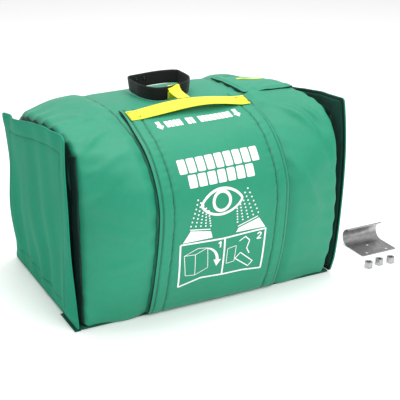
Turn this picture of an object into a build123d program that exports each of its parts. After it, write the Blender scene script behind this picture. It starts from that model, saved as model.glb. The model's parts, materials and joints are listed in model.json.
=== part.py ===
"""Portable gravity-fed eyewash station in its insulated jacket, with loose fixing hardware.

Units are millimetres. X runs along the jacket, Y from the front flap to the back, Z up.
The origin is the middle of the footprint, on the floor.
"""

import math
import os

from build123d import *

os.makedirs("parts", exist_ok=True)

# Overall sizes
LENGTH = 780.0  # over the two end panels
DEPTH = 520.0  # front bottom edge to back
HEIGHT = 513.0  # crown of the jacket above the floor
BULGE = 76.0  # how far the front swells past its bottom edge
FRONT = -DEPTH / 2
BACK = DEPTH / 2

# Jacket
BASE_T = 6.0  # base sheet
WALL = 22.0  # padded wall
PANEL_T = 6.0  # end panel
LINING_T = 1.5  # loop lining on an end panel
END_GAP = 16.0  # between an end panel and the swollen body
BODY_END = LENGTH / 2 - PANEL_T - END_GAP
FULL_X = 195.0  # the section is constant between -FULL_X and FULL_X
PANEL_FRONT_H = 521.0
PANEL_BACK_H = 451.0
PANEL_Z = 4.0
OPENING_W = 300.0
OPENING_Z0 = 34.0
OPENING_Z1 = 440.0
FILL_X = 268.0
FILL_Y = 50.0
FILL_OPENING = 116.0

# Front flap
FLAP_W = 386.0
FLAP_IN = 3.0  # inner face above the jacket
FLAP_T = 10.0
FLAP_OUT = FLAP_IN + FLAP_T
CREASE_Z = 60.0
FLAP_END_Y = FRONT + 190.0
BAND_W = 38.0
BAND_T = 1.4
HOOK_T = 2.4
HOOK_W = 30.0
RUN_GAP = 0.6

# Webbing
STRAP_W = 48.0
STRAP_T = 2.2
STRAP_END = 178.0
STRAP_RISE_X = 150.0
STRAP_RISE = 16.0
LOOP_W = 165.0
LOOP_D = 160.0
LOOP_H = 38.0
LOOP_T = 3.0
LOOP_Y = FRONT + 295.0
LOOP_X = 0.0
TAB_W = 40.0
TAB_T = 1.5
TAB_X = -5.0

# Tank
TANK_W = 640.0
TANK_D = 380.0
TANK_H = 350.0
TANK_WALL = 4.0
TANK_Z = BASE_T + WALL
TANK_TOP = TANK_Z + TANK_H
NICHE_W = 300.0
NICHE_D = 150.0
NICHE_BACK = -TANK_D / 2 + NICHE_D
NECK_R = 46.0
NECK_BORE_R = 38.0
NECK_H = 52.0
CAP_R = 52.0
CAP_T = 4.0
CAP_SKIRT = 26.0
DRAIN_R = 11.0
DRAIN_X = -80.0
DRAIN_Z = 66.0

# Arm
PIVOT_Y = -150.0
PIVOT_Z = 75.0
TRAY_W = 230.0
TRAY_D = 55.0
TRAY_L = 312.0
TRAY_WALL = 4.0
TRAY_FRONT = PIVOT_Y - 25.0
TRAY_Z0 = PIVOT_Z - 22.0
PLATE_T = 4.0
PIN_R = 6.0
BUSH_R = 9.0
RUN_FIT = 0.05  # radial clearance of a turning fit
SPOOL_R = 12.0
VALVE_R = 20.0
PIPE_R = 8.0
PIPE_BORE_R = 6.0
FITTING = 18.0
HEAD_X = 60.0
HEAD_Z = 300.0
HEAD_R = 14.0
FLANGE_R = 20.0
HEAD_TOP = -105.0
COVER_R = 15.5
COVER_T = 3.0
HINGE_UP = 24.0
COVER_PIN_R = 2.0

# Loose hardware
SHEET_T = 2.0
PLATE_W = 125.0
PLATE_L = 78.0
PLATE_X = 597.0
PLATE_Y = -181.0
HOOK_R = 27.0
HOLE_R = 4.5
HOLE_PITCH = 72.0
HOLE_STEP = 47.0
SPACER_AF = 22.0
SPACER_H = 18.0
SPACER_BORE_R = 5.0


def blend(mid, end, part):
    """The point a given part of the way from the middle section's point to the end's."""
    return tuple(m + (e - m) * part for m, e in zip(mid, end))


def section_points(part, grow):
    """Points of the body's cross-section (across, up), with its skin moved out by grow.

    A part of 0 is the full middle section and 1 is the flatter section at an end.
    """
    crown = HEIGHT
    spec = [
        ((0.0, BASE_T), (0.0, BASE_T), (-1.0, -1.0)),
        ((-0.72 * BULGE, 165.0), (3.0, 165.0), (-0.97, -0.2)),
        ((-BULGE, 330.0), (12.0, 330.0), (-1.0, 0.0)),
        ((-22.0, 430.0), (14.0, 425.0), (-0.72, 0.69)),
        ((90.0, crown - 26.0), (50.0, crown - 39.0), (-0.31, 0.95)),
        ((178.0, crown - 3.5), (135.0, crown - 21.0), (-0.2, 0.98)),
        ((270.0, crown), (262.0, crown - 21.0), (0.0, 1.0)),
        ((DEPTH - 135.0, crown - 7.0), (DEPTH - 127.0, crown - 43.0), (0.25, 0.97)),
        ((DEPTH - 42.0, crown - 43.0), (DEPTH - 48.0, crown - 68.0), (0.7, 0.71)),
        ((DEPTH, 390.0), (DEPTH, 385.0), (1.0, 0.0)),
        ((DEPTH, BASE_T), (DEPTH, BASE_T), (1.0, -1.0)),
    ]
    points = []
    for mid, end, normal in spec:
        across, up = blend(mid, end, part)
        points.append((FRONT + across + normal[0] * grow, up + normal[1] * grow))
    return points


def section_edges(part, grow):
    """The closed outline through the section points: arcs over the curved stretches."""
    p = section_points(part, grow)
    return [
        Edge.make_three_point_arc(p[0], p[1], p[2]),
        Edge.make_three_point_arc(p[2], p[3], p[4]),
        Edge.make_line(p[4], p[5]),
        Edge.make_three_point_arc(p[5], p[6], p[7]),
        Edge.make_three_point_arc(p[7], p[8], p[9]),
        Edge.make_line(p[9], p[10]),
        Edge.make_line(p[10], p[0]),
    ]


def arc_centre(a, b, c):
    """Centre and radius of the circle through three points."""
    d = 2 * (a[0] * (b[1] - c[1]) + b[0] * (c[1] - a[1]) + c[0] * (a[1] - b[1]))
    sa, sb, sc = (q[0] ** 2 + q[1] ** 2 for q in (a, b, c))
    x = (sa * (b[1] - c[1]) + sb * (c[1] - a[1]) + sc * (a[1] - b[1])) / d
    y = (sa * (c[0] - b[0]) + sb * (a[0] - c[0]) + sc * (b[0] - a[0])) / d
    return x, y, math.dist((x, y), a)


MIDDLE = section_points(0, 0)
FACE_C = arc_centre(*MIDDLE[0:3])
CREASE_Y = FACE_C[0] - math.sqrt((FACE_C[2] + FLAP_OUT) ** 2 - (CREASE_Z - FACE_C[1]) ** 2)

# The straight slope of the shoulder, where the pull strap lies
SLOPE_A = MIDDLE[4]
SLOPE_B = MIDDLE[5]
SLOPE_L = math.dist(SLOPE_A, SLOPE_B)
SLOPE_T = ((SLOPE_B[0] - SLOPE_A[0]) / SLOPE_L, (SLOPE_B[1] - SLOPE_A[1]) / SLOPE_L)
SLOPE_N = (-SLOPE_T[1], SLOPE_T[0])
SLOPE_MID = ((SLOPE_A[0] + SLOPE_B[0]) / 2, (SLOPE_A[1] + SLOPE_B[1]) / 2)
STRAP_BASE = FLAP_OUT + BAND_T

# Top of the strap's arch at its back edge: the pull tab folds there
TAB_RISE = STRAP_BASE + STRAP_RISE + STRAP_T
TAB_Y = SLOPE_MID[0] + SLOPE_N[0] * TAB_RISE + SLOPE_T[0] * STRAP_W / 2 + 2 * RUN_GAP
TAB_Z = SLOPE_MID[1] + SLOPE_N[1] * TAB_RISE + SLOPE_T[1] * STRAP_W / 2 - TAB_T

LOOP_Z = HEIGHT + 3.0
LOOP_FRONT = LOOP_Y - LOOP_D / 2

# ---------------------------------------------------------------- jacket

with BuildPart() as jacket_body:
    with BuildSketch(Plane.YZ.offset(-FULL_X)):
        make_face(section_edges(0, 0))
    extrude(amount=2 * FULL_X)
    for side in (-1, 1):
        for x, part in ((FULL_X, 0), (300.0, 0.35), (BODY_END, 1)):
            with BuildSketch(Plane.YZ.offset(side * x)):
                make_face(section_edges(part, 0))
        loft()
    with BuildSketch(Plane.YZ.offset(-FULL_X)):
        make_face(section_edges(0, -WALL))
    extrude(amount=2 * FULL_X, mode=Mode.SUBTRACT)
    for side in (-1, 1):
        for x, part in ((FULL_X, 0), (290.0, 0.35), (BODY_END - WALL, 1)):
            with BuildSketch(Plane.YZ.offset(side * x)):
                make_face(section_edges(part, -WALL))
        loft(mode=Mode.SUBTRACT)
    with Locations((0, FRONT - BULGE, OPENING_Z0)):
        Box(
            OPENING_W,
            2 * BULGE + 120.0,
            OPENING_Z1 - OPENING_Z0,
            align=(Align.CENTER, Align.CENTER, Align.MIN),
            mode=Mode.SUBTRACT,
        )
    with Locations((FILL_X, FILL_Y, HEIGHT - 60)):
        Box(FILL_OPENING, FILL_OPENING, 160.0, mode=Mode.SUBTRACT)
jacket_body.part.label = "jacket_body"
export_step(jacket_body.part, "parts/jacket_body.step")

with BuildPart() as base_sheet:
    with Locations((0, 0, BASE_T / 2)):
        Box(LENGTH - 2 * PANEL_T - 2 * RUN_GAP, DEPTH - 2.0, BASE_T)
base_sheet.part.label = "base_sheet"
export_step(base_sheet.part, "parts/base_sheet.step")

# ---------------------------------------------------------------- front flap


with BuildPart() as front_flap:
    with BuildSketch(Plane.YZ.offset(-FLAP_W / 2)):
        make_face(section_edges(0, 0))
        offset(amount=FLAP_OUT, kind=Kind.INTERSECTION)
    extrude(amount=FLAP_W)
    with BuildSketch(Plane.YZ.offset(-FLAP_W)):
        make_face(section_edges(0, 0))
        offset(amount=FLAP_IN, kind=Kind.INTERSECTION)
    extrude(amount=2 * FLAP_W, mode=Mode.SUBTRACT)
    with Locations((0, 0, CREASE_Z)):
        Box(LENGTH, 2 * DEPTH, HEIGHT, align=(Align.CENTER, Align.CENTER, Align.MAX), mode=Mode.SUBTRACT)
    with Locations((0, FLAP_END_Y, 0)):
        Box(LENGTH, DEPTH, 2 * HEIGHT + 99, align=(Align.CENTER, Align.MIN, Align.CENTER), mode=Mode.SUBTRACT)
front_flap.part.label = "front_flap"
export_step(front_flap.part, "parts/front_flap.step")

with BuildPart() as flap_root:
    with BuildSketch(Plane.YZ.offset(-FLAP_W / 2)):
        make_face(section_edges(0, 0))
        offset(amount=FLAP_OUT, kind=Kind.INTERSECTION)
    extrude(amount=FLAP_W)
    with BuildSketch(Plane.YZ.offset(-FLAP_W)):
        make_face(section_edges(0, 0))
    extrude(amount=2 * FLAP_W, mode=Mode.SUBTRACT)
    with Locations((0, 0, CREASE_Z - RUN_GAP)):
        Box(LENGTH, 2 * DEPTH, 2 * HEIGHT, align=(Align.CENTER, Align.CENTER, Align.MIN), mode=Mode.SUBTRACT)
    with Locations((0, 0, BASE_T)):
        Box(LENGTH, 2 * DEPTH, 2 * HEIGHT, align=(Align.CENTER, Align.CENTER, Align.MAX), mode=Mode.SUBTRACT)
    with Locations((0, 0, 0)):
        Box(LENGTH, 2 * DEPTH, 3 * HEIGHT, align=(Align.CENTER, Align.MIN, Align.CENTER), mode=Mode.SUBTRACT)
flap_root.part.label = "flap_root"
export_step(flap_root.part, "parts/flap_root.step")

for name, side in (("flap_band_left", -1), ("flap_band_right", 1)):
    with BuildPart() as flap_band:
        x = side * (FLAP_W - BAND_W) / 2
        with BuildSketch(Plane.YZ.offset(x - BAND_W / 2)):
            make_face(section_edges(0, 0))
            offset(amount=FLAP_OUT + BAND_T, kind=Kind.INTERSECTION)
        extrude(amount=BAND_W)
        with BuildSketch(Plane.YZ.offset(x - BAND_W)):
            make_face(section_edges(0, 0))
            offset(amount=FLAP_OUT, kind=Kind.INTERSECTION)
        extrude(amount=2 * BAND_W, mode=Mode.SUBTRACT)
        with Locations((x, 0, CREASE_Z + 4.0)):
            Box(99, 2 * DEPTH, HEIGHT, align=(Align.CENTER, Align.CENTER, Align.MAX), mode=Mode.SUBTRACT)
        with Locations((x, FLAP_END_Y - 4.0, 0)):
            Box(99, DEPTH, 3 * HEIGHT, align=(Align.CENTER, Align.MIN, Align.CENTER), mode=Mode.SUBTRACT)
    flap_band.part.label = name
    export_step(flap_band.part, "parts/" + name + ".step")

for name, side in (("hook_strip_left", -1), ("hook_strip_right", 1)):
    with BuildPart() as hook_strip:
        x = side * (OPENING_W / 2 + 5.0 + HOOK_W / 2)
        with BuildSketch(Plane.YZ.offset(x - HOOK_W / 2)):
            make_face(section_edges(0, 0))
            offset(amount=HOOK_T, kind=Kind.INTERSECTION)
        extrude(amount=HOOK_W)
        with BuildSketch(Plane.YZ.offset(x - HOOK_W)):
            make_face(section_edges(0, 0))
        extrude(amount=2 * HOOK_W, mode=Mode.SUBTRACT)
        with Locations((x, 0, CREASE_Z + 40.0)):
            Box(99, 2 * DEPTH, HEIGHT, align=(Align.CENTER, Align.CENTER, Align.MAX), mode=Mode.SUBTRACT)
        with Locations((x, FLAP_END_Y - 20.0, 0)):
            Box(99, DEPTH, 3 * HEIGHT, align=(Align.CENTER, Align.MIN, Align.CENTER), mode=Mode.SUBTRACT)
    hook_strip.part.label = name
    export_step(hook_strip.part, "parts/" + name + ".step")

# ---------------------------------------------------------------- webbing

STRAP_PLANE = Plane(
    origin=(
        0,
        SLOPE_MID[0] + SLOPE_N[0] * STRAP_BASE,
        SLOPE_MID[1] + SLOPE_N[1] * STRAP_BASE,
    ),
    x_dir=(1, 0, 0),
    z_dir=(0, -SLOPE_T[0], -SLOPE_T[1]),
)
with BuildPart() as pull_strap:
    with BuildSketch(STRAP_PLANE):
        with BuildLine():
            Line((-STRAP_END, 0), (-STRAP_RISE_X, 0))
            ThreePointArc((-STRAP_RISE_X, 0), (0, STRAP_RISE), (STRAP_RISE_X, 0))
            Line((STRAP_RISE_X, 0), (STRAP_END, 0))
            Line((STRAP_END, 0), (STRAP_END, STRAP_T))
            Line((STRAP_END, STRAP_T), (STRAP_RISE_X, STRAP_T))
            ThreePointArc((STRAP_RISE_X, STRAP_T), (0, STRAP_RISE + STRAP_T), (-STRAP_RISE_X, STRAP_T))
            Line((-STRAP_RISE_X, STRAP_T), (-STRAP_END, STRAP_T))
            Line((-STRAP_END, STRAP_T), (-STRAP_END, 0))
        make_face()
    extrude(amount=STRAP_W / 2, both=True)
pull_strap.part.label = "pull_strap"
export_step(pull_strap.part, "parts/pull_strap.step")

with BuildPart() as handle_loop:
    with BuildSketch(Plane.XY.offset(LOOP_Z)):
        with Locations((LOOP_X, LOOP_Y)):
            RectangleRounded(LOOP_W, LOOP_D, 30.0)
            RectangleRounded(LOOP_W - 2 * LOOP_T, LOOP_D - 2 * LOOP_T, 30.0 - LOOP_T, mode=Mode.SUBTRACT)
    extrude(amount=LOOP_H)
handle_loop.part.label = "handle_loop"
export_step(handle_loop.part, "parts/handle_loop.step")

with BuildPart() as handle_snaps:
    for x in (-45.0, -21.0):
        with BuildSketch(Plane.XZ.offset(-(LOOP_Y + LOOP_D / 2 - LOOP_T))):
            with Locations((LOOP_X + x, LOOP_Z + LOOP_H * 0.6)):
                Circle(6.0)
        extrude(amount=2.0)
handle_snaps.part.label = "handle_snaps"
export_step(handle_snaps.part, "parts/handle_snaps.step")

with BuildPart() as pull_tab:
    with Locations((TAB_X, TAB_Y, TAB_Z)):
        Box(
            TAB_W,
            LOOP_FRONT - 1.0 - TAB_T - TAB_Y,
            TAB_T,
            align=(Align.CENTER, Align.MIN, Align.MIN),
        )
    with BuildSketch(Plane.YZ.offset(TAB_X - TAB_W / 2)):
        with Locations((LOOP_FRONT + LOOP_T / 2, LOOP_Z + LOOP_H / 2)):
            Rectangle(LOOP_T + 2.0 + 2 * TAB_T, LOOP_H + 2 * TAB_T)
            Rectangle(LOOP_T + 2.0, LOOP_H, mode=Mode.SUBTRACT)
    extrude(amount=TAB_W)
pull_tab.part.label = "pull_tab"
export_step(pull_tab.part, "parts/pull_tab.step")

# ---------------------------------------------------------------- fill flap

FILL_GAP = 1.5
FILL_T = 8.0
TAPE_T = 1.2
FILL_X0 = FULL_X + 2.0
FILL_X1 = FILL_X + 94.0
FILL_Y0 = FILL_Y - 124.0
FILL_Y1 = FILL_Y + 78.0
with BuildPart() as fill_flap:
    for x, part in ((FULL_X, 0), (300.0, 0.35), (BODY_END, 1)):
        with BuildSketch(Plane.YZ.offset(x)):
            make_face(section_edges(part, FILL_GAP + FILL_T))
    loft()
    for x, part in ((FULL_X, 0), (300.0, 0.35), (BODY_END, 1)):
        with BuildSketch(Plane.YZ.offset(x)):
            make_face(section_edges(part, FILL_GAP))
    loft(mode=Mode.SUBTRACT)
    with Locations(((FILL_X0 + FILL_X1) / 2, (FILL_Y0 + FILL_Y1) / 2, HEIGHT)):
        Box(FILL_X1 - FILL_X0, FILL_Y1 - FILL_Y0, 200.0, mode=Mode.INTERSECT)
fill_flap.part.label = "fill_flap"
export_step(fill_flap.part, "parts/fill_flap.step")

with BuildPart() as fill_tape:
    for x, part in ((FULL_X, 0), (300.0, 0.35), (BODY_END, 1)):
        with BuildSketch(Plane.YZ.offset(x)):
            make_face(section_edges(part, FILL_GAP + FILL_T + TAPE_T))
    loft()
    for x, part in ((FULL_X, 0), (300.0, 0.35), (BODY_END, 1)):
        with BuildSketch(Plane.YZ.offset(x)):
            make_face(section_edges(part, FILL_GAP + FILL_T))
    loft(mode=Mode.SUBTRACT)
    with Locations((FILL_X + 18.0, FILL_Y, HEIGHT)):
        Box(84.0, 12.0, 200.0, mode=Mode.INTERSECT)
fill_tape.part.label = "fill_tape"
export_step(fill_tape.part, "parts/fill_tape.step")

# ---------------------------------------------------------------- end panels

for name, side in (("left", -1), ("right", 1)):
    with BuildPart() as end_panel:
        with BuildSketch(Plane.YZ.offset(side * LENGTH / 2 - (PANEL_T if side > 0 else 0))):
            with BuildLine():
                Polyline(
                    (FRONT - 2.0, PANEL_Z),
                    (FRONT - 2.0, PANEL_FRONT_H),
                    (FRONT + 150.0, PANEL_FRONT_H - 4.0),
                    (BACK - 8.0, PANEL_BACK_H),
                    (BACK - 8.0, PANEL_Z),
                    close=True,
                )
            make_face()
        extrude(amount=PANEL_T)
        fillet(end_panel.edges().filter_by(Axis.X), 14.0)
    end_panel.part.label = name + "_end_panel"
    export_step(end_panel.part, "parts/" + name + "_end_panel.step")

    with BuildPart() as lining:
        inner = side * (LENGTH / 2 - PANEL_T)
        with BuildSketch(Plane.YZ.offset(inner - (LINING_T if side > 0 else 0))):
            with BuildLine():
                Polyline(
                    (FRONT + 6.0, 20.0),
                    (FRONT + 6.0, PANEL_FRONT_H - 10.0),
                    (FRONT + 150.0, PANEL_FRONT_H - 14.0),
                    (BACK - 18.0, PANEL_BACK_H - 12.0),
                    (BACK - 18.0, 20.0),
                    close=True,
                )
            make_face()
        extrude(amount=LINING_T)
    lining.part.label = name + "_panel_lining"
    export_step(lining.part, "parts/" + name + "_panel_lining.step")

    with BuildPart() as closure_tab:
        with Locations((side * (BODY_END + 6.0), FRONT + 32.0, 412.0)):
            Box(12.0, 2.0, 66.0)
    closure_tab.part.label = name + "_closure_tab"
    export_step(closure_tab.part, "parts/" + name + "_closure_tab.step")

# ---------------------------------------------------------------- tank

with BuildPart() as tank:
    with BuildSketch(Plane.XY.offset(TANK_Z)) as tank_plan:
        Rectangle(TANK_W, TANK_D)
        with Locations((0, -TANK_D / 2)):
            Rectangle(NICHE_W, 2 * NICHE_D, mode=Mode.SUBTRACT)
        fillet(tank_plan.vertices().group_by(Axis.X)[0] + tank_plan.vertices().group_by(Axis.X)[-1], 20.0)
    extrude(amount=TANK_H)
    with BuildSketch(Plane.XY.offset(TANK_Z + TANK_WALL)) as hollow_plan:
        Rectangle(TANK_W, TANK_D)
        with Locations((0, -TANK_D / 2)):
            Rectangle(NICHE_W, 2 * NICHE_D, mode=Mode.SUBTRACT)
        fillet(hollow_plan.vertices().group_by(Axis.X)[0] + hollow_plan.vertices().group_by(Axis.X)[-1], 20.0)
        offset(amount=-TANK_WALL)
    extrude(amount=TANK_H - 2 * TANK_WALL, mode=Mode.SUBTRACT)
    with BuildSketch(Plane.XY.offset(TANK_TOP - 1.0)):
        with Locations((FILL_X, FILL_Y)):
            Circle(NECK_R)
    extrude(amount=NECK_H + 1.0)
    with BuildSketch(Plane.XY.offset(TANK_TOP - 2 * TANK_WALL)):
        with Locations((FILL_X, FILL_Y)):
            Circle(NECK_BORE_R)
    extrude(amount=NECK_H + 4 * TANK_WALL, mode=Mode.SUBTRACT)
    with BuildSketch(Plane.XZ.offset(-NICHE_BACK - 8.0)):
        with Locations((DRAIN_X, DRAIN_Z)):
            Circle(DRAIN_R)
        with Locations((TRAY_W / 2 + 17.5, PIVOT_Z)):
            Circle(PIPE_R)
    extrude(amount=16.0, mode=Mode.SUBTRACT)
tank.part.label = "tank"
export_step(tank.part, "parts/tank.step")

NECK_TOP = TANK_TOP + NECK_H
GASKET_T = 2.0
with BuildPart() as cap_gasket:
    with BuildSketch(Plane.XY.offset(NECK_TOP)):
        with Locations((FILL_X, FILL_Y)):
            Circle(NECK_R - 1.0)
            Circle(NECK_BORE_R, mode=Mode.SUBTRACT)
    extrude(amount=GASKET_T)
cap_gasket.part.label = "cap_gasket"
export_step(cap_gasket.part, "parts/cap_gasket.step")

with BuildPart() as fill_cap:
    with BuildSketch(Plane.XY.offset(NECK_TOP + GASKET_T + 0.4 - CAP_SKIRT)):
        with Locations((FILL_X, FILL_Y)):
            Circle(CAP_R)
    extrude(amount=CAP_SKIRT + CAP_T)
    with BuildSketch(Plane.XY.offset(NECK_TOP + GASKET_T + 0.4 - CAP_SKIRT)):
        with Locations((FILL_X, FILL_Y)):
            Circle(NECK_R + RUN_FIT)
    extrude(amount=CAP_SKIRT, mode=Mode.SUBTRACT)
    with Locations((FILL_X, FILL_Y, NECK_TOP + GASKET_T + 0.4 + CAP_T)):
        Box(84.0, 12.0, 10.0, align=(Align.CENTER, Align.CENTER, Align.MIN))
        Box(12.0, 84.0, 10.0, align=(Align.CENTER, Align.CENTER, Align.MIN))
    with BuildSketch(Plane.XY.offset(NECK_TOP - CAP_SKIRT)):
        with Locations((FILL_X, FILL_Y)):
            with PolarLocations(CAP_R + 2.0, 16):
                Circle(4.0)
    extrude(amount=CAP_SKIRT + CAP_T + GASKET_T + 1.0, mode=Mode.SUBTRACT)
fill_cap.part.label = "fill_cap"
export_step(fill_cap.part, "parts/fill_cap.step")

with BuildPart() as drain_gasket:
    with BuildSketch(Plane.XZ.offset(-NICHE_BACK)):
        with Locations((DRAIN_X, DRAIN_Z)):
            Circle(15.0)
            Circle(DRAIN_R, mode=Mode.SUBTRACT)
    extrude(amount=GASKET_T)
drain_gasket.part.label = "drain_gasket"
export_step(drain_gasket.part, "parts/drain_gasket.step")

with BuildPart() as drain_plug:
    with BuildSketch(Plane.XZ.offset(-NICHE_BACK - TANK_WALL - 2.0)):
        with Locations((DRAIN_X, DRAIN_Z)):
            Circle(DRAIN_R - RUN_FIT)
    extrude(amount=TANK_WALL + 2.0 + GASKET_T + 0.4)
    with BuildSketch(Plane.XZ.offset(-NICHE_BACK + GASKET_T + 0.4)):
        with Locations((DRAIN_X, DRAIN_Z)):
            RegularPolygon(17.0, 6)
    extrude(amount=10.0)
drain_plug.part.label = "drain_plug"
export_step(drain_plug.part, "parts/drain_plug.step")

# ---------------------------------------------------------------- insulation inside the jacket

with BuildPart() as back_insulation:
    with Locations((0, TANK_D / 2, TANK_Z)):
        Box(TANK_W, 44.0, TANK_H, align=(Align.CENTER, Align.MIN, Align.MIN))
back_insulation.part.label = "back_insulation"
export_step(back_insulation.part, "parts/back_insulation.step")

for name, side in (("left_insulation", -1), ("right_insulation", 1)):
    with BuildPart() as end_insulation:
        with Locations((side * (TANK_W / 2 + 12.0), 0, TANK_Z)):
            Box(24.0, TANK_D, TANK_H, align=(Align.CENTER, Align.CENTER, Align.MIN))
    end_insulation.part.label = name
    export_step(end_insulation.part, "parts/" + name + ".step")

for name, side in (("front_left_insulation", -1), ("front_right_insulation", 1)):
    with BuildPart() as front_insulation:
        with Locations((side * (TANK_W / 2 + NICHE_W / 2 + 10.0) / 2, -TANK_D / 2, TANK_Z)):
            Box(
                TANK_W / 2 - NICHE_W / 2 - 10.0,
                40.0,
                TANK_H,
                align=(Align.CENTER, Align.MAX, Align.MIN),
            )
    front_insulation.part.label = name
    export_step(front_insulation.part, "parts/" + name + ".step")

with BuildPart() as top_insulation:
    with Locations((0, NICHE_BACK + 10.0, TANK_TOP)):
        Box(TANK_W, TANK_D / 2 - NICHE_BACK - 10.0, 24.0, align=(Align.CENTER, Align.MIN, Align.MIN))
    with BuildSketch(Plane.XY.offset(TANK_TOP)):
        with Locations((FILL_X, FILL_Y)):
            Circle(CAP_R + 4.0)
    extrude(amount=30.0, mode=Mode.SUBTRACT)
top_insulation.part.label = "top_insulation"
export_step(top_insulation.part, "parts/top_insulation.step")

# ---------------------------------------------------------------- pivot and valve

PLATE_IN = NICHE_W / 2 - PLATE_T
VALVE_X = TRAY_W / 2 + 17.5

with BuildPart() as pivot_plate:
    with BuildSketch(Plane.YZ.offset(-NICHE_W / 2)) as pivot_face:
        with Locations((PIVOT_Y + 10.0, PIVOT_Z)):
            Rectangle(90.0, 70.0)
        fillet(pivot_face.vertices(), 8.0)
        with Locations((PIVOT_Y, PIVOT_Z)):
            Circle(BUSH_R, mode=Mode.SUBTRACT)
    extrude(amount=PLATE_T)
pivot_plate.part.label = "pivot_plate"
export_step(pivot_plate.part, "parts/pivot_plate.step")

with BuildPart() as valve_plate:
    with BuildSketch(Plane.YZ.offset(PLATE_IN)) as valve_face:
        with Locations((PIVOT_Y + 10.0, PIVOT_Z)):
            Rectangle(90.0, 70.0)
        fillet(valve_face.vertices(), 8.0)
    extrude(amount=PLATE_T)
valve_plate.part.label = "valve_plate"
export_step(valve_plate.part, "parts/valve_plate.step")

with BuildPart() as pivot_bushing:
    with BuildSketch(Plane.YZ.offset(-NICHE_W / 2)):
        with Locations((PIVOT_Y, PIVOT_Z)):
            Circle(BUSH_R)
    extrude(amount=PLATE_T)
    with BuildSketch(Plane.YZ.offset(-PLATE_IN)):
        with Locations((PIVOT_Y, PIVOT_Z)):
            Circle(13.0)
    extrude(amount=6.0)
    with BuildSketch(Plane.YZ.offset(-NICHE_W / 2)):
        with Locations((PIVOT_Y, PIVOT_Z)):
            Circle(PIN_R + RUN_FIT)
    extrude(amount=40.0, mode=Mode.SUBTRACT)
pivot_bushing.part.label = "pivot_bushing"
export_step(pivot_bushing.part, "parts/pivot_bushing.step")

with BuildPart() as pivot_pin:
    with BuildSketch(Plane.YZ.offset(-NICHE_W / 2 + RUN_GAP)):
        with Locations((PIVOT_Y, PIVOT_Z)):
            Circle(PIN_R)
    extrude(amount=NICHE_W / 2 - RUN_GAP - TRAY_W / 2 + TRAY_WALL)
    with BuildSketch(Plane.YZ.offset(-TRAY_W / 2 + TRAY_WALL)):
        with Locations((PIVOT_Y, PIVOT_Z)):
            Circle(PIN_R + 2.0)
    extrude(amount=4.0)
pivot_pin.part.label = "pivot_pin"
export_step(pivot_pin.part, "parts/pivot_pin.step")

with BuildPart() as valve_body:
    with BuildSketch(Plane.YZ.offset(TRAY_W / 2 + RUN_GAP)):
        with Locations((PIVOT_Y, PIVOT_Z)):
            Circle(VALVE_R)
    extrude(amount=PLATE_IN - TRAY_W / 2 - RUN_GAP)
    with BuildSketch(Plane.XZ.offset(-PIVOT_Y - 38.0)):
        with Locations((VALVE_X, PIVOT_Z)):
            Circle(12.0)
    extrude(amount=38.0)
    with BuildSketch(Plane.YZ.offset(TRAY_W / 2)):
        with Locations((PIVOT_Y, PIVOT_Z)):
            Circle(SPOOL_R + RUN_FIT)
    extrude(amount=PLATE_IN - TRAY_W / 2, mode=Mode.SUBTRACT)
    with BuildSketch(Plane.XZ.offset(-PIVOT_Y - 38.0)):
        with Locations((VALVE_X, PIVOT_Z)):
            Circle(PIPE_R)
    extrude(amount=18.0, mode=Mode.SUBTRACT)
    with BuildSketch(Plane.XZ.offset(-PIVOT_Y - 21.0)):
        with Locations((VALVE_X, PIVOT_Z)):
            Circle(5.0)
    extrude(amount=18.0, mode=Mode.SUBTRACT)
valve_body.part.label = "valve_body"
export_step(valve_body.part, "parts/valve_body.step")

with BuildPart() as supply_pipe:
    with BuildSketch(Plane.XZ.offset(-NICHE_BACK - TANK_WALL - 1.0)):
        with Locations((VALVE_X, PIVOT_Z)):
            Circle(PIPE_R)
            Circle(PIPE_BORE_R, mode=Mode.SUBTRACT)
    extrude(amount=NICHE_BACK + TANK_WALL + 1.0 - PIVOT_Y - 20.0)
supply_pipe.part.label = "supply_pipe"
export_step(supply_pipe.part, "parts/supply_pipe.step")

with BuildPart() as supply_gasket:
    with BuildSketch(Plane.XZ.offset(-NICHE_BACK)):
        with Locations((VALVE_X, PIVOT_Z)):
            Circle(13.0)
            Circle(PIPE_R, mode=Mode.SUBTRACT)
    extrude(amount=4.0)
supply_gasket.part.label = "supply_gasket"
export_step(supply_gasket.part, "parts/supply_gasket.step")

RING_X = (TRAY_W / 2 + 5.0, TRAY_W / 2 + 28.0)
RING_W = 2.0
RING_DEEP = 1.5
with BuildPart() as valve_spool:
    with BuildSketch(Plane.YZ.offset(TRAY_W / 2 - TRAY_WALL)):
        with Locations((PIVOT_Y, PIVOT_Z)):
            Circle(SPOOL_R)
    extrude(amount=PLATE_IN - TRAY_W / 2 + TRAY_WALL - RUN_GAP)
    with BuildSketch(Plane.YZ.offset(TRAY_W / 2 - TRAY_WALL)):
        with Locations((PIVOT_Y, PIVOT_Z)):
            Circle(PIPE_R)
    extrude(amount=28.0, mode=Mode.SUBTRACT)
    with BuildSketch(Plane.XY.offset(PIVOT_Z - SPOOL_R - 1.0)):
        with Locations((VALVE_X, PIVOT_Y)):
            Circle(4.5)
    extrude(amount=SPOOL_R, mode=Mode.SUBTRACT)
    for x in RING_X:
        with BuildSketch(Plane.YZ.offset(x)):
            with Locations((PIVOT_Y, PIVOT_Z)):
                Circle(SPOOL_R + 1.0)
                Circle(SPOOL_R - RING_DEEP, mode=Mode.SUBTRACT)
        extrude(amount=RING_W, mode=Mode.SUBTRACT)
valve_spool.part.label = "valve_spool"
export_step(valve_spool.part, "parts/valve_spool.step")

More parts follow.
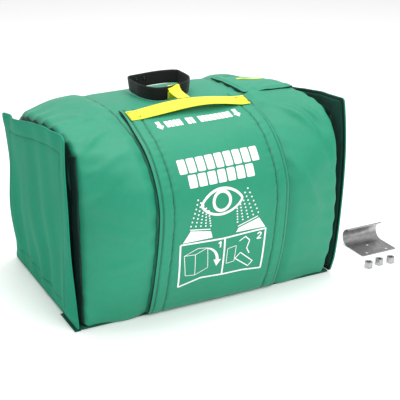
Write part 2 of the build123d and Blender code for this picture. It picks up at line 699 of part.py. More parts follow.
with BuildPart() as spool_rings:
    for x in RING_X:
        with BuildSketch(Plane.YZ.offset(x)):
            with Locations((PIVOT_Y, PIVOT_Z)):
                Circle(SPOOL_R)
                Circle(SPOOL_R - RING_DEEP, mode=Mode.SUBTRACT)
        extrude(amount=RING_W)
spool_rings.part.label = "spool_rings"
export_step(spool_rings.part, "parts/spool_rings.step")

# ---------------------------------------------------------------- arm

with BuildPart() as arm_tray:
    with Locations((0, TRAY_FRONT, TRAY_Z0)):
        Box(TRAY_W, TRAY_D, TRAY_L, align=(Align.CENTER, Align.MIN, Align.MIN))
    fillet(arm_tray.edges().filter_by(Axis.Y), 14.0)
    with BuildSketch(Plane.XZ.offset(-TRAY_FRONT - TRAY_D)) as hollow_face:
        with Locations((0, TRAY_Z0 + TRAY_L / 2)):
            Rectangle(TRAY_W - 2 * TRAY_WALL, TRAY_L - 2 * TRAY_WALL)
        fillet(hollow_face.vertices(), 10.0)
    extrude(amount=TRAY_D - TRAY_WALL, mode=Mode.SUBTRACT)
    with BuildSketch(Plane.YZ):
        with Locations((PIVOT_Y, PIVOT_Z)):
            Circle(SPOOL_R)
    extrude(amount=TRAY_W, mode=Mode.SUBTRACT)
    with BuildSketch(Plane.YZ):
        with Locations((PIVOT_Y, PIVOT_Z)):
            Circle(PIN_R)
    extrude(amount=-TRAY_W, mode=Mode.SUBTRACT)
arm_tray.part.label = "arm_tray"
export_step(arm_tray.part, "parts/arm_tray.step")

with BuildPart() as arm_manifold:
    with BuildSketch(Plane.YZ):
        with Locations((PIVOT_Y, PIVOT_Z)):
            Circle(PIPE_R)
    extrude(amount=TRAY_W / 2 + 3.0)
    with BuildSketch(Plane.XY.offset(PIVOT_Z)):
        with Locations((0, PIVOT_Y)):
            Circle(PIPE_R)
    extrude(amount=HEAD_Z - PIVOT_Z)
    with BuildSketch(Plane.YZ.offset(-HEAD_X)):
        with Locations((PIVOT_Y, HEAD_Z)):
            Circle(PIPE_R)
    extrude(amount=2 * HEAD_X)
    with BuildSketch(Plane.XZ.offset(-PIVOT_Y)):
        with Locations((-HEAD_X, HEAD_Z), (HEAD_X, HEAD_Z)):
            Circle(PIPE_R)
    extrude(amount=-22.0)
    for place in ((0, PIVOT_Z), (0, HEAD_Z), (-HEAD_X, HEAD_Z), (HEAD_X, HEAD_Z)):
        with Locations((place[0], PIVOT_Y, place[1])):
            Box(FITTING, FITTING, FITTING)
    with BuildSketch(Plane.YZ):
        with Locations((PIVOT_Y, PIVOT_Z)):
            Circle(PIPE_BORE_R)
    extrude(amount=TRAY_W / 2 + 3.0, mode=Mode.SUBTRACT)
    with BuildSketch(Plane.XY.offset(PIVOT_Z - 4.0)):
        with Locations((0, PIVOT_Y)):
            Circle(PIPE_BORE_R - 0.5)
    extrude(amount=HEAD_Z - PIVOT_Z + 4.0, mode=Mode.SUBTRACT)
    with BuildSketch(Plane.YZ.offset(-HEAD_X - 3.0)):
        with Locations((PIVOT_Y, HEAD_Z)):
            Circle(PIPE_BORE_R)
    extrude(amount=2 * HEAD_X + 6.0, mode=Mode.SUBTRACT)
    with BuildSketch(Plane.XZ.offset(-PIVOT_Y)):
        with Locations((-HEAD_X, HEAD_Z), (HEAD_X, HEAD_Z)):
            Circle(PIPE_BORE_R - 1.0)
    extrude(amount=-22.0, mode=Mode.SUBTRACT)
arm_manifold.part.label = "arm_manifold"
export_step(arm_manifold.part, "parts/arm_manifold.step")

COVER_AXIS_Y = HEAD_TOP + 4.0
COVER_AXIS_Z = HEAD_Z + HINGE_UP
for name, side in (("left", -1), ("right", 1)):
    with BuildPart() as spray_head:
        with BuildSketch(Plane.XZ.offset(-HEAD_TOP)):
            with Locations((side * HEAD_X, HEAD_Z)):
                Circle(HEAD_R)
        extrude(amount=HEAD_TOP - PIVOT_Y - FITTING / 2)
        with BuildSketch(Plane.XZ.offset(-HEAD_TOP)):
            with Locations((side * HEAD_X, HEAD_Z)):
                Circle(FLANGE_R)
        extrude(amount=5.0)
        for ear in (-1, 1):
            with Locations((side * HEAD_X + ear * 6.5, HEAD_TOP - 4.0, HEAD_Z + HINGE_UP - 8.0)):
                Box(3.0, 12.0, 13.0, align=(Align.CENTER, Align.MIN, Align.MIN))
        with BuildSketch(Plane.YZ.offset(side * HEAD_X - 10.0)):
            with Locations((COVER_AXIS_Y, COVER_AXIS_Z)):
                Circle(COVER_PIN_R)
        extrude(amount=20.0, mode=Mode.SUBTRACT)
        with BuildSketch(Plane.XZ.offset(-HEAD_TOP)):
            with Locations((side * HEAD_X, HEAD_Z)):
                Circle(5.0)
        extrude(amount=60.0, mode=Mode.SUBTRACT)
        with BuildSketch(Plane.XZ.offset(-PIVOT_Y - 22.0)):
            with Locations((side * HEAD_X, HEAD_Z)):
                Circle(PIPE_R)
        extrude(amount=40.0, mode=Mode.SUBTRACT)
    spray_head.part.label = name + "_spray_head"
    export_step(spray_head.part, "parts/" + name + "_spray_head.step")

    with BuildPart() as cover_pin:
        with BuildSketch(Plane.YZ.offset(side * HEAD_X - 9.0)):
            with Locations((COVER_AXIS_Y, COVER_AXIS_Z)):
                Circle(COVER_PIN_R)
        extrude(amount=18.0)
    cover_pin.part.label = name + "_cover_pin"
    export_step(cover_pin.part, "parts/" + name + "_cover_pin.step")

    with BuildPart() as dust_cover:
        with BuildSketch(Plane.XZ.offset(-HEAD_TOP - 0.5)):
            with Locations((side * HEAD_X, HEAD_Z)):
                Circle(COVER_R)
        extrude(amount=-COVER_T)
        with Locations((side * HEAD_X, HEAD_TOP + 1.5, HEAD_Z + 10.0)):
            Box(8.4, 2.0, HINGE_UP - 12.0, align=(Align.CENTER, Align.MIN, Align.MIN))
        with BuildSketch(Plane.YZ.offset(side * HEAD_X - 4.2)):
            with Locations((COVER_AXIS_Y, COVER_AXIS_Z)):
                Circle(3.5)
        extrude(amount=8.4)
        with BuildSketch(Plane.YZ.offset(side * HEAD_X - 6.0)):
            with Locations((COVER_AXIS_Y, COVER_AXIS_Z)):
                Circle(COVER_PIN_R + RUN_FIT)
        extrude(amount=12.0, mode=Mode.SUBTRACT)
    dust_cover.part.label = name + "_dust_cover"
    export_step(dust_cover.part, "parts/" + name + "_dust_cover.step")

# ---------------------------------------------------------------- loose hardware

with BuildPart() as hook_bracket:
    with BuildSketch(Plane.XY):
        with Locations((PLATE_X, PLATE_Y)):
            Rectangle(PLATE_W, PLATE_L)
    extrude(amount=SHEET_T)
    fillet(
        hook_bracket.edges().filter_by(Axis.Z).group_by(Axis.Y)[0],
        5.0,
    )
    with BuildSketch(Plane.YZ.offset(PLATE_X - PLATE_W / 2)):
        with Locations((PLATE_Y + PLATE_L / 2, SHEET_T + HOOK_R)):
            Circle(HOOK_R + SHEET_T)
            Circle(HOOK_R, mode=Mode.SUBTRACT)
            Rectangle(
                2 * HOOK_R + 2 * SHEET_T,
                2 * HOOK_R + 2 * SHEET_T,
                align=(Align.MAX, Align.CENTER),
                mode=Mode.SUBTRACT,
            )
    extrude(amount=PLATE_W)
    with BuildSketch(Plane.XY):
        with Locations(
            (PLATE_X - HOLE_PITCH / 2, PLATE_Y - 24.0),
            (PLATE_X + HOLE_PITCH / 2, PLATE_Y - 24.0),
            (PLATE_X, PLATE_Y - 24.0 + HOLE_STEP),
        ):
            Circle(HOLE_R)
    extrude(amount=SHEET_T, mode=Mode.SUBTRACT)
hook_bracket.part.label = "hook_bracket"
export_step(hook_bracket.part, "parts/hook_bracket.step")

for number, x, y in ((1, 507.0, -287.0), (2, 547.0, -284.0), (3, 585.0, -288.0)):
    with BuildPart() as spacer:
        with BuildSketch(Plane.XY):
            with Locations((x, y)):
                RegularPolygon(SPACER_AF / 2, 6, major_radius=False)
                Circle(SPACER_BORE_R, mode=Mode.SUBTRACT)
        extrude(amount=SPACER_H)
        chamfer(spacer.edges().filter_by(GeomType.CIRCLE), 0.8)
    spacer.part.label = "spacer_" + str(number)
    export_step(spacer.part, "parts/spacer_" + str(number) + ".step")

print("crease", round(CREASE_Y, 2), CREASE_Z, "tab", round(TAB_Y, 2), round(TAB_Z, 2))
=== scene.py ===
"""Looks of a portable gravity-fed eyewash station in its padded jacket.

Sizes are metres. X runs along the jacket, Y from the front flap to the back, Z up, and the
origin is the middle of the footprint on the floor.
"""

import json
import logging
import math
from dataclasses import dataclass
from enum import Enum
from functools import cache

import bpy
import numpy as np
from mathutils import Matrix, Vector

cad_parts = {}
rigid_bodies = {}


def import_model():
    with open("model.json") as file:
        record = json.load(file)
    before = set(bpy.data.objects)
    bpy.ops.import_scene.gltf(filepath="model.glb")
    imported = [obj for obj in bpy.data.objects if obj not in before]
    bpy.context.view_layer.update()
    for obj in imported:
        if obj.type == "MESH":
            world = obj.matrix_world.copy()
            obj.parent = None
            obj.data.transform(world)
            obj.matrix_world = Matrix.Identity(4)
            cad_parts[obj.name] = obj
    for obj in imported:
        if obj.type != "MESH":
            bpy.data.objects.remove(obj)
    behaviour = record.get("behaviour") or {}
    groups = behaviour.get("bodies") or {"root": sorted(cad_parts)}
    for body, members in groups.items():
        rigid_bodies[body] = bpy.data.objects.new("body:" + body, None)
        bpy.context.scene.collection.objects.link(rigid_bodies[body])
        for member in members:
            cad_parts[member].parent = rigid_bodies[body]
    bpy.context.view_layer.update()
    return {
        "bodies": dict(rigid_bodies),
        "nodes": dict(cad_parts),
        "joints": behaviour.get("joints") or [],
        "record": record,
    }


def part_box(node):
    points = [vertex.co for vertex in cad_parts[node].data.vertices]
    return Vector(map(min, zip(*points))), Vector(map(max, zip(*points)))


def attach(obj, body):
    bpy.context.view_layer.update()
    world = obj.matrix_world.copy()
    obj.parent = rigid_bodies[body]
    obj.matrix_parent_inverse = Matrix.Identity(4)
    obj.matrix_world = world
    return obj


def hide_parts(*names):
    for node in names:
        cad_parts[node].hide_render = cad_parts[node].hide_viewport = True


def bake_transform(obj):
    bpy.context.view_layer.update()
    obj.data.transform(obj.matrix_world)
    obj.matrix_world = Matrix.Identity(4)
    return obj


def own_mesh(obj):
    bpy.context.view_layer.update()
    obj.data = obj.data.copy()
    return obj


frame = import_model()
LOG = logging.getLogger("eyewash")

Array = np.ndarray
Colour = tuple[float, float, float, float]
Piece = bpy.types.Object
Material = bpy.types.Material
Socket = bpy.types.NodeSocket
Tree = bpy.types.NodeTree


def srgb(red: int, green: int, blue: int) -> Colour:
    """A display colour, 0 to 255, as the linear colour a shader wants."""
    linear = [((c / 255 + 0.055) / 1.055) ** 2.4 for c in (red, green, blue)]
    return (linear[0], linear[1], linear[2], 1.0)


# ---------------- surfaces


def ripple(x: Array, y: Array, pitch: float, seed: int, waves: int = 6) -> Array:
    """A smooth uneven field: sines of random heading and phase, added and averaged.

    Args:
        x: First coordinate of each point.
        y: Second coordinate of each point.
        pitch: About how far apart the crests lie.
        seed: Picks the headings and phases.
        waves: How many sines are added.

    Returns:
        Values of about -1 to 1, one for each point.
    """
    rng = np.random.default_rng(seed)
    total = np.zeros(np.broadcast(x, y).shape)
    for _ in range(waves):
        heading, phase = rng.uniform(0, 2 * np.pi, 2)
        length = pitch * rng.uniform(0.7, 1.6)
        along = x * np.cos(heading) + y * np.sin(heading)
        total += np.sin(along * 2 * np.pi / length + phase)
    return total / math.sqrt(waves * 1.6)


def smooth_step(low: float, high: float, value: Array) -> Array:
    """0 below low, 1 above high, and an eased rise between them."""
    t = np.clip((value - low) / (high - low), 0, 1)
    return t * t * (3 - 2 * t)


def crease(x: Array, y: Array, start: tuple, end: tuple, width: float) -> Array:
    """A ridge along a line: a bell curve of the distance from it, fading at both ends.

    Args:
        x: First coordinate of each point.
        y: Second coordinate of each point.
        start: Where the ridge starts.
        end: Where it ends.
        width: How wide the bell is.

    Returns:
        1 on the ridge, falling to 0 away from it.
    """
    run = np.array(end, float) - np.array(start, float)
    length = float(np.hypot(*run))
    along = ((x - start[0]) * run[0] + (y - start[1]) * run[1]) / length**2
    t = np.clip(along, 0, 1)
    away = np.hypot(x - start[0] - t * run[0], y - start[1] - t * run[1])
    return np.exp(-((away / width) ** 2)) * np.sin(np.pi * np.clip(along, 0.06, 0.94)) ** 0.6


def spots(*places: tuple[float, float]) -> Array:
    """Points of a drawn line or edge, one row for each place."""
    return np.array(places, float)


def put_mesh(name: str, points: Array, faces: Array, uv: Array | None = None) -> Piece:
    """A smooth-shaded mesh object at the origin from points and quads.

    Args:
        name: Name of the piece.
        points: Corner points, (n, 3).
        faces: Corner numbers of each quad, (m, 4).
        uv: A flat coordinate in metres for each point, (n, 2).

    Returns:
        The new object, linked to the scene.
    """
    mesh = bpy.data.meshes.new(name)
    mesh.vertices.add(len(points))
    mesh.vertices.foreach_set("co", np.ascontiguousarray(points, np.float32).ravel())
    mesh.loops.add(faces.size)
    mesh.loops.foreach_set("vertex_index", np.ascontiguousarray(faces, np.int32).ravel())
    mesh.polygons.add(len(faces))
    mesh.polygons.foreach_set("loop_start", np.arange(0, faces.size, 4, dtype=np.int32))
    if uv is not None:
        layer = mesh.uv_layers.new(name="cut")
        layer.data.foreach_set("uv", np.ascontiguousarray(uv[faces.ravel()], np.float32).ravel())
    mesh.update(calc_edges=True)
    mesh.validate()
    mesh.polygons.foreach_set("use_smooth", np.ones(len(mesh.polygons), bool))
    piece = bpy.data.objects.new(name, mesh)
    bpy.context.scene.collection.objects.link(piece)
    return piece


def grid_faces(rows: int, columns: int, closed: tuple[bool, bool], flip: bool = False) -> Array:
    """Quads between neighbouring points of a grid, (rows, columns, 4) before flattening.

    Args:
        rows: Points along the first direction.
        columns: Points along the second direction.
        closed: Whether the rows and the columns close on themselves.
        flip: Turns the quads over.

    Returns:
        Corner numbers, (row steps, column steps, 4).
    """
    i = np.arange(rows if closed[0] else rows - 1)
    j = np.arange(columns if closed[1] else columns - 1)
    i, j = np.meshgrid(i, j, indexing="ij")
    i2, j2 = (i + 1) % rows, (j + 1) % columns
    quad = np.stack(
        [i * columns + j, i2 * columns + j, i2 * columns + j2, i * columns + j2], axis=2
    )
    return quad[:, :, ::-1] if flip else quad


def put_grid(
    name: str,
    points: Array,
    closed: tuple[bool, bool] = (False, False),
    flip: bool = False,
    uv: Array | None = None,
    drop: Array | None = None,
) -> Piece:
    """A mesh from a grid of points, with chosen quads left out.

    Args:
        name: Name of the piece.
        points: Grid of points, (rows, columns, 3).
        closed: Whether the rows and the columns close on themselves.
        flip: Turns the quads over.
        uv: Flat coordinates, (rows, columns, 2).
        drop: True for each quad that is left out.

    Returns:
        The new object.
    """
    rows, columns = points.shape[:2]
    faces = grid_faces(rows, columns, closed, flip)
    faces = faces[~drop] if drop is not None else faces.reshape(-1, 4)
    flat = None if uv is None else uv.reshape(-1, 2)
    return put_mesh(name, points.reshape(-1, 3), faces, flat)


def ribbon(
    name: str, path: Array, across: Array, width: float, thick: float, closed: bool, turns: int = 9
) -> Piece:
    """Webbing: a flat band carried along a path, with its two selvedges rounded.

    At each path point the band's outline is a slim rounded loop: the width runs along the
    given across direction and the thickness along the direction square to it and to the path.

    Args:
        name: Name of the piece.
        path: Middle line, (n, 3).
        across: Unit direction of the width at each point, (n, 3).
        width: Width of the band.
        thick: Thickness of the band.
        closed: Whether the path closes on itself.
        turns: Points across the width.

    Returns:
        The new object.
    """
    step = np.roll(path, -1, 0) - np.roll(path, 1, 0) if closed else np.gradient(path, axis=0)
    step /= np.linalg.norm(step, axis=1, keepdims=True)
    out = np.cross(across, step)
    out /= np.linalg.norm(out, axis=1, keepdims=True)
    w = np.linspace(-1, 1, turns)
    side = np.concatenate([w, w[::-1]]) * (width / 2)
    lift = np.concatenate([np.full(turns, -1.0), np.ones(turns)]) * thick / 2
    lift *= np.where(np.abs(side) > width * 0.49, 0.45, 1.0)
    points = path[:, None] + across[:, None] * side[None, :, None] + out[:, None] * lift[None, :, None]
    run = np.concatenate([[0], np.cumsum(np.linalg.norm(np.diff(path, axis=0), axis=1))])
    uv = np.stack(np.broadcast_arrays(side[None, :], run[:, None]), axis=2)
    piece = put_grid(name, points, (closed, True), uv=uv)
    if not closed:
        cap_ends(piece, len(path), 2 * turns)
    return piece


def cap_ends(piece: Piece, rows: int, columns: int) -> None:
    """Closes both ends of a tube-like grid with strips of quads across it.

    Args:
        piece: The tube, its columns closed and even in number.
        rows: Points along it.
        columns: Points round it.
    """
    half = columns // 2
    k = np.arange(half - 1)
    strip = np.stack([k, k + 1, columns - 2 - k, columns - 1 - k], axis=1)
    first, last = strip, strip[:, ::-1] + (rows - 1) * columns
    mesh = piece.data
    old = np.empty(len(mesh.loops), np.int32)
    mesh.loops.foreach_get("vertex_index", old)
    points = np.empty(len(mesh.vertices) * 3, np.float32)
    mesh.vertices.foreach_get("co", points)
    uv = None
    if mesh.uv_layers:
        flat = np.empty(len(mesh.loops) * 2, np.float32)
        mesh.uv_layers[0].data.foreach_get("uv", flat)
        uv = np.zeros((len(mesh.vertices), 2), np.float32)
        uv[old] = flat.reshape(-1, 2)
    name = mesh.name
    faces = np.concatenate([old.reshape(-1, 4), first, last])
    fresh = put_mesh(name + "_closed", points.reshape(-1, 3), faces, uv)
    piece.data = fresh.data
    bpy.data.objects.remove(fresh)
    bpy.data.meshes.remove(mesh)
    piece.data.name = name


def lathe(name: str, profile: Array, centre: Array, axis: Array, turns: int = 28) -> Piece:
    """A turned piece: a profile of (radius, height) spun about an axis.

    Args:
        name: Name of the piece.
        profile: Radius and height of each profile point, (n, 2).
        centre: Where the axis starts.
        axis: Unit direction of the axis.
        turns: Steps round the axis.

    Returns:
        The new object.
    """
    helper = np.array([1.0, 0, 0]) if abs(axis[0]) < 0.9 else np.array([0, 1.0, 0])
    a = np.cross(axis, helper)
    a /= np.linalg.norm(a)
    b = np.cross(axis, a)
    t = np.linspace(0, 2 * np.pi, turns, endpoint=False)
    ring = a * np.cos(t)[:, None] + b * np.sin(t)[:, None]
    points = centre + profile[:, 0][:, None, None] * ring[None] + profile[:, 1][:, None, None] * axis
    return put_grid(name, points, (False, True), flip=True)


def solid(piece: Piece, thick: float, inside: int = 0, rim: int | None = None) -> None:
    """Gives a sheet its thickness, on the side away from its faces.

    Args:
        piece: The sheet.
        thick: How thick it gets.
        inside: Material slot step of the far side.
        rim: Material slot step of the edge, that of the far side when left out.
    """
    step = piece.modifiers.new("thickness", "SOLIDIFY")
    step.thickness = thick
    step.offset = -1.0
    step.use_even_offset = False
    step.material_offset = inside
    step.material_offset_rim = inside if rim is None else rim


# ---------------- finishes


class Groups:
    """Shader node groups that several finishes share, each built once."""

    @staticmethod
    def start(name: str, inputs: dict[str, float | tuple], output: str) -> Tree:
        """An empty group with its sockets.

        Args:
            name: Name of the group.
            inputs: Default of each input; a tuple of three makes a vector.
            output: Name of its one value output.

        Returns:
            The new node tree, with its input and output nodes.
        """
        tree = bpy.data.node_groups.new(name, "ShaderNodeTree")
        for key, value in inputs.items():
            kind = "NodeSocketVector" if isinstance(value, tuple) else "NodeSocketFloat"
            socket = tree.interface.new_socket(key, in_out="INPUT", socket_type=kind)
            if kind == "NodeSocketFloat":
                socket.default_value = value
        tree.interface.new_socket(output, in_out="OUTPUT", socket_type="NodeSocketFloat")
        tree.nodes.new("NodeGroupInput").name = "in"
        tree.nodes.new("NodeGroupOutput").name = "out"
        return tree

    @staticmethod
    def maths(tree: Tree, kind: str, *values: object) -> Socket:
        """One Math node.

        Args:
            tree: Node tree it is added to.
            kind: Its operation.
            values: Numbers, or output sockets of other nodes, for its inputs in order.

        Returns:
            Its output socket.
        """
        node = tree.nodes.new("ShaderNodeMath")
        node.operation = kind
        for slot, value in zip(node.inputs, values):
            if isinstance(value, Socket):
                tree.links.new(value, slot)
            else:
                slot.default_value = value
        return node.outputs[0]

    @classmethod
    @cache
    def weave(cls) -> Tree:
        """Plain weave height: threads one way on odd squares and the other way on even ones.

        Returns:
            The group's node tree.
        """
        tree = cls.start("weave", {"Place": (0, 0, 0), "Pitch": 0.001}, "Height")
        source = tree.nodes["in"].outputs
        parts = tree.nodes.new("ShaderNodeSeparateXYZ")
        tree.links.new(source["Place"], parts.inputs[0])
        sines = []
        for k in (0, 1):
            count = cls.maths(tree, "DIVIDE", parts.outputs[k], source["Pitch"])
            sines.append(cls.maths(tree, "SINE", cls.maths(tree, "MULTIPLY", count, math.pi)))
        both = cls.maths(tree, "MULTIPLY", sines[0], sines[1])
        warp = cls.maths(tree, "ABSOLUTE", sines[0])
        weft = cls.maths(tree, "ABSOLUTE", sines[1])
        over = cls.maths(tree, "GREATER_THAN", both, 0.0)
        under = cls.maths(tree, "SUBTRACT", 1.0, over)
        raised = [cls.maths(tree, "MULTIPLY", *pair) for pair in ((warp, over), (weft, under))]
        height = cls.maths(tree, "ADD", *raised)
        tree.links.new(height, tree.nodes["out"].inputs[0])
        return tree

    @classmethod
    @cache
    def mottle(cls) -> Tree:
        """Uneven tone: two sizes of noise mixed, about 0 to 1.

        Returns:
            The group's node tree.
        """
        tree = cls.start("mottle", {"Place": (0, 0, 0), "Coarse": 4.0, "Fine": 60.0}, "Tone")
        source = tree.nodes["in"].outputs
        tones = []
        for key, share in (("Coarse", 0.65), ("Fine", 0.35)):
            noise = tree.nodes.new("ShaderNodeTexNoise")
            noise.inputs["Detail"].default_value = 3.0
            tree.links.new(source["Place"], noise.inputs["Vector"])
            tree.links.new(source[key], noise.inputs["Scale"])
            tones.append(cls.maths(tree, "MULTIPLY", noise.outputs["Fac"], share))
        tree.links.new(cls.maths(tree, "ADD", *tones), tree.nodes["out"].inputs[0])
        return tree

    @classmethod
    @cache
    def dust(cls) -> Tree:
        """Dust that settles on faces that look up, broken by noise.

        Returns:
            The group's node tree.
        """
        tree = cls.start("dust", {"Place": (0, 0, 0), "Amount": 0.3}, "Mask")
        source = tree.nodes["in"].outputs
        shape = tree.nodes.new("ShaderNodeNewGeometry")
        parts = tree.nodes.new("ShaderNodeSeparateXYZ")
        tree.links.new(shape.outputs["Normal"], parts.inputs[0])
        noise = tree.nodes.new("ShaderNodeTexNoise")
        noise.inputs["Scale"].default_value = 34.0
        noise.inputs["Detail"].default_value = 5.0
        tree.links.new(source["Place"], noise.inputs["Vector"])
        up = cls.maths(tree, "MAXIMUM", parts.outputs["Z"], 0.0)
        spread = cls.maths(tree, "MULTIPLY", cls.maths(tree, "POWER", up, 3.0), noise.outputs["Fac"])
        tree.links.new(cls.maths(tree, "MULTIPLY", spread, source["Amount"]), tree.nodes["out"].inputs[0])
        return tree

    @classmethod
    @cache
    def wear(cls) -> Tree:
        """Worn edges: where the shape is sharply convex, broken by noise.

        Returns:
            The group's node tree.
        """
        tree = cls.start("wear", {"Place": (0, 0, 0), "Amount": 0.5}, "Mask")
        source = tree.nodes["in"].outputs
        shape = tree.nodes.new("ShaderNodeNewGeometry")
        noise = tree.nodes.new("ShaderNodeTexNoise")
        noise.inputs["Scale"].default_value = 90.0
        tree.links.new(source["Place"], noise.inputs["Vector"])
        convex = cls.maths(tree, "SUBTRACT", shape.outputs["Pointiness"], 0.52)
        edge = cls.maths(tree, "MULTIPLY", convex, 9.0)
        broken = cls.maths(tree, "MULTIPLY", edge, noise.outputs["Fac"])
        held = cls.maths(tree, "MINIMUM", cls.maths(tree, "MAXIMUM", broken, 0.0), 1.0)
        tree.links.new(cls.maths(tree, "MULTIPLY", held, source["Amount"]), tree.nodes["out"].inputs[0])
        return tree

    @classmethod
    @cache
    def groove(cls) -> Tree:
        """Painted shade along a sewn groove: a dark line, strongest on its line and uneven along it.

        Returns:
            The group's node tree.
        """
        inputs = {"Across": 0.0, "Place": (0, 0, 0), "Line": 0.1, "Width": 0.0034, "Amount": 0.6}
        tree = cls.start("groove", inputs, "Mask")
        source = tree.nodes["in"].outputs
        away = cls.maths(tree, "SUBTRACT", cls.maths(tree, "ABSOLUTE", source["Across"]), source["Line"])
        share = cls.maths(tree, "DIVIDE", cls.maths(tree, "ABSOLUTE", away), source["Width"])
        depth = cls.maths(tree, "MAXIMUM", cls.maths(tree, "SUBTRACT", 1.0, share), 0.0)
        noise = tree.nodes.new("ShaderNodeTexNoise")
        noise.inputs["Scale"].default_value = 45.0
        tree.links.new(source["Place"], noise.inputs["Vector"])
        uneven = cls.maths(tree, "MULTIPLY", depth, cls.maths(tree, "MULTIPLY", noise.outputs["Fac"], 1.7))
        held = cls.maths(tree, "MINIMUM", cls.maths(tree, "MULTIPLY", uneven, source["Amount"]), 1.0)
        tree.links.new(held, tree.nodes["out"].inputs[0])
        return tree

    @classmethod
    @cache
    def stitch(cls) -> Tree:
        """A row of stitches: dashes along one coordinate, thin across the other.

        Returns:
            The group's node tree.
        """
        inputs = {"Across": 0.0, "Along": 0.0, "Line": 0.1, "Length": 0.005, "Width": 0.0008}
        tree = cls.start("stitch", inputs, "Mask")
        source = tree.nodes["in"].outputs
        side = cls.maths(tree, "SUBTRACT", cls.maths(tree, "ABSOLUTE", source["Across"]), source["Line"])
        near = cls.maths(tree, "LESS_THAN", cls.maths(tree, "ABSOLUTE", side), source["Width"])
        count = cls.maths(tree, "FRACT", cls.maths(tree, "DIVIDE", source["Along"], source["Length"]))
        dash = cls.maths(tree, "LESS_THAN", count, 0.68)
        tree.links.new(cls.maths(tree, "MULTIPLY", near, dash), tree.nodes["out"].inputs[0])
        return tree


class Place(Enum):
    """Which coordinates a finish is laid out on."""

    CUT = "the flat pattern of the cloth"
    SHAPE = "the shape itself"


class Board:
    """One material being wired: a Principled shader, a place and the nodes added to it."""

    def __init__(self, name: str, place: Place) -> None:
        """Starts the material.

        Args:
            name: Name of the material.
            place: Coordinates its patterns follow.
        """
        self.material = bpy.data.materials.new(name)
        self.material.use_nodes = True
        self.tree = self.material.node_tree
        self.shader = self.tree.nodes["Principled BSDF"]
        source = self.tree.nodes.new("ShaderNodeTexCoord")
        self.shape = source.outputs["Object"]
        self.place = source.outputs["UV"] if place is Place.CUT else self.shape

    def group(self, tree: Tree, **values: object) -> Socket:
        """Adds a shared group.

        Args:
            tree: The group.
            values: Numbers, or output sockets, for its inputs by name.

        Returns:
            Its output socket.
        """
        node = self.tree.nodes.new("ShaderNodeGroup")
        node.node_tree = tree
        for key, value in values.items():
            if isinstance(value, Socket):
                self.tree.links.new(value, node.inputs[key])
            else:
                node.inputs[key].default_value = value
        return node.outputs[0]

    def blend(self, low: Colour | Socket, high: Colour, mask: Socket) -> Socket:
        """A colour between two by a mask.

        Args:
            low: Colour, or its socket, where the mask is 0.
            high: Colour where the mask is 1.
            mask: Share of the high colour.

        Returns:
            The mixed colour.
        """
        node = self.tree.nodes.new("ShaderNodeMix")
        node.data_type = "RGBA"
        if isinstance(low, Socket):
            self.tree.links.new(low, node.inputs[6])
        else:
            node.inputs[6].default_value = low
        node.inputs[7].default_value = high
        self.tree.links.new(mask, node.inputs[0])
        return node.outputs[2]

    def spread(self, value: Socket, low: float, high: float) -> Socket:
        """Stretches a 0 to 1 value to another range.

        Args:
            value: Socket to stretch.
            low: Result at 0.
            high: Result at 1.

        Returns:
            The stretched value.
        """
        node = self.tree.nodes.new("ShaderNodeMapRange")
        self.tree.links.new(value, node.inputs["Value"])
        node.inputs["To Min"].default_value = low
        node.inputs["To Max"].default_value = high
        return node.outputs["Result"]

    def bump(self, height: Socket, distance: float, strength: float, under: Socket | None = None) -> Socket:
        """A bump from a height, on top of another bump when one is given.

        Args:
            height: Socket that gives the height.
            distance: How far a height of 1 stands out.
            strength: Share of the bump that shows.
            under: Normal of the bump below it.

        Returns:
            The new normal.
        """
        node = self.tree.nodes.new("ShaderNodeBump")
        node.inputs["Strength"].default_value = strength
        node.inputs["Distance"].default_value = distance
        self.tree.links.new(height, node.inputs["Height"])
        if under is not None:
            self.tree.links.new(under, node.inputs["Normal"])
        return node.outputs[0]

    def wire(self, socket: str, value: Socket) -> None:
        """Links a value to one of the shader's inputs."""
        self.tree.links.new(value, self.shader.inputs[socket])

    def put(self, **values: float) -> None:
        """Sets plain numbers on the shader's own inputs; underscores stand for spaces."""
        for key, value in values.items():
            self.shader.inputs[key.replace("_", " ")].default_value = value


@dataclass(frozen=True)
class WovenCloth:
    """Woven cloth: coated nylon or webbing, with thread relief, tone changes, dust and painted shade along its
    seam lines.
    """

    name: str
    tone: Colour
    shade: Colour
    pitch: float = 0.0011
    relief: float = 0.00012
    rough: float = 0.5
    sheen: float = 0.06
    seams: tuple[float, ...] = ()
    thread: Colour = (0.02, 0.16, 0.10, 1)
    # Strength of the painted shade along each seam line; 0 leaves it out.
    groove: float = 0.0
    gloss: float = 0.3

    def make(self) -> Material:
        """Builds the material.

        Returns:
            The new material.
        """
        board = Board(self.name, Place.CUT)
        tone = board.group(Groups.mottle(), Place=board.shape, Coarse=5.0, Fine=70.0)
        colour = board.blend(self.shade, self.tone, board.spread(tone, -0.2, 1.2))
        dust = board.group(Groups.dust(), Place=board.shape, Amount=0.04)
        colour = board.blend(colour, srgb(205, 215, 208), dust)
        weave = board.group(Groups.weave(), Place=board.place, Pitch=self.pitch)
        normal = board.bump(weave, self.relief, 0.5)
        slack = board.group(Groups.mottle(), Place=board.shape, Coarse=14.0, Fine=55.0)
        normal = board.bump(slack, 0.004, 0.42, normal)
        if self.seams:
            parts = board.tree.nodes.new("ShaderNodeSeparateXYZ")
            board.tree.links.new(board.place, parts.inputs[0])
            for line in self.seams:
                # Painted shade: each seam line is darkened towards near-black green, for the shade in its
                # groove.
                if self.groove > 0:
                    dark = board.group(
                        Groups.groove(),
                        Across=parts.outputs[0],
                        Place=board.shape,
                        Line=line,
                        Amount=self.groove,
                    )
                    colour = board.blend(colour, (0.004, 0.05, 0.035, 1), dark)
                mask = board.group(
                    Groups.stitch(), Across=parts.outputs[0], Along=parts.outputs[1], Line=line
                )
                colour = board.blend(colour, self.thread, mask)
                normal = board.bump(mask, 0.0006, 0.8, normal)
        board.wire("Base Color", colour)
        board.wire("Normal", normal)
        board.wire("Roughness", board.spread(tone, self.rough - 0.08, self.rough + 0.1))
        board.put(Sheen_Weight=self.sheen, Sheen_Roughness=0.45, Specular_IOR_Level=self.gloss)
        return board.material


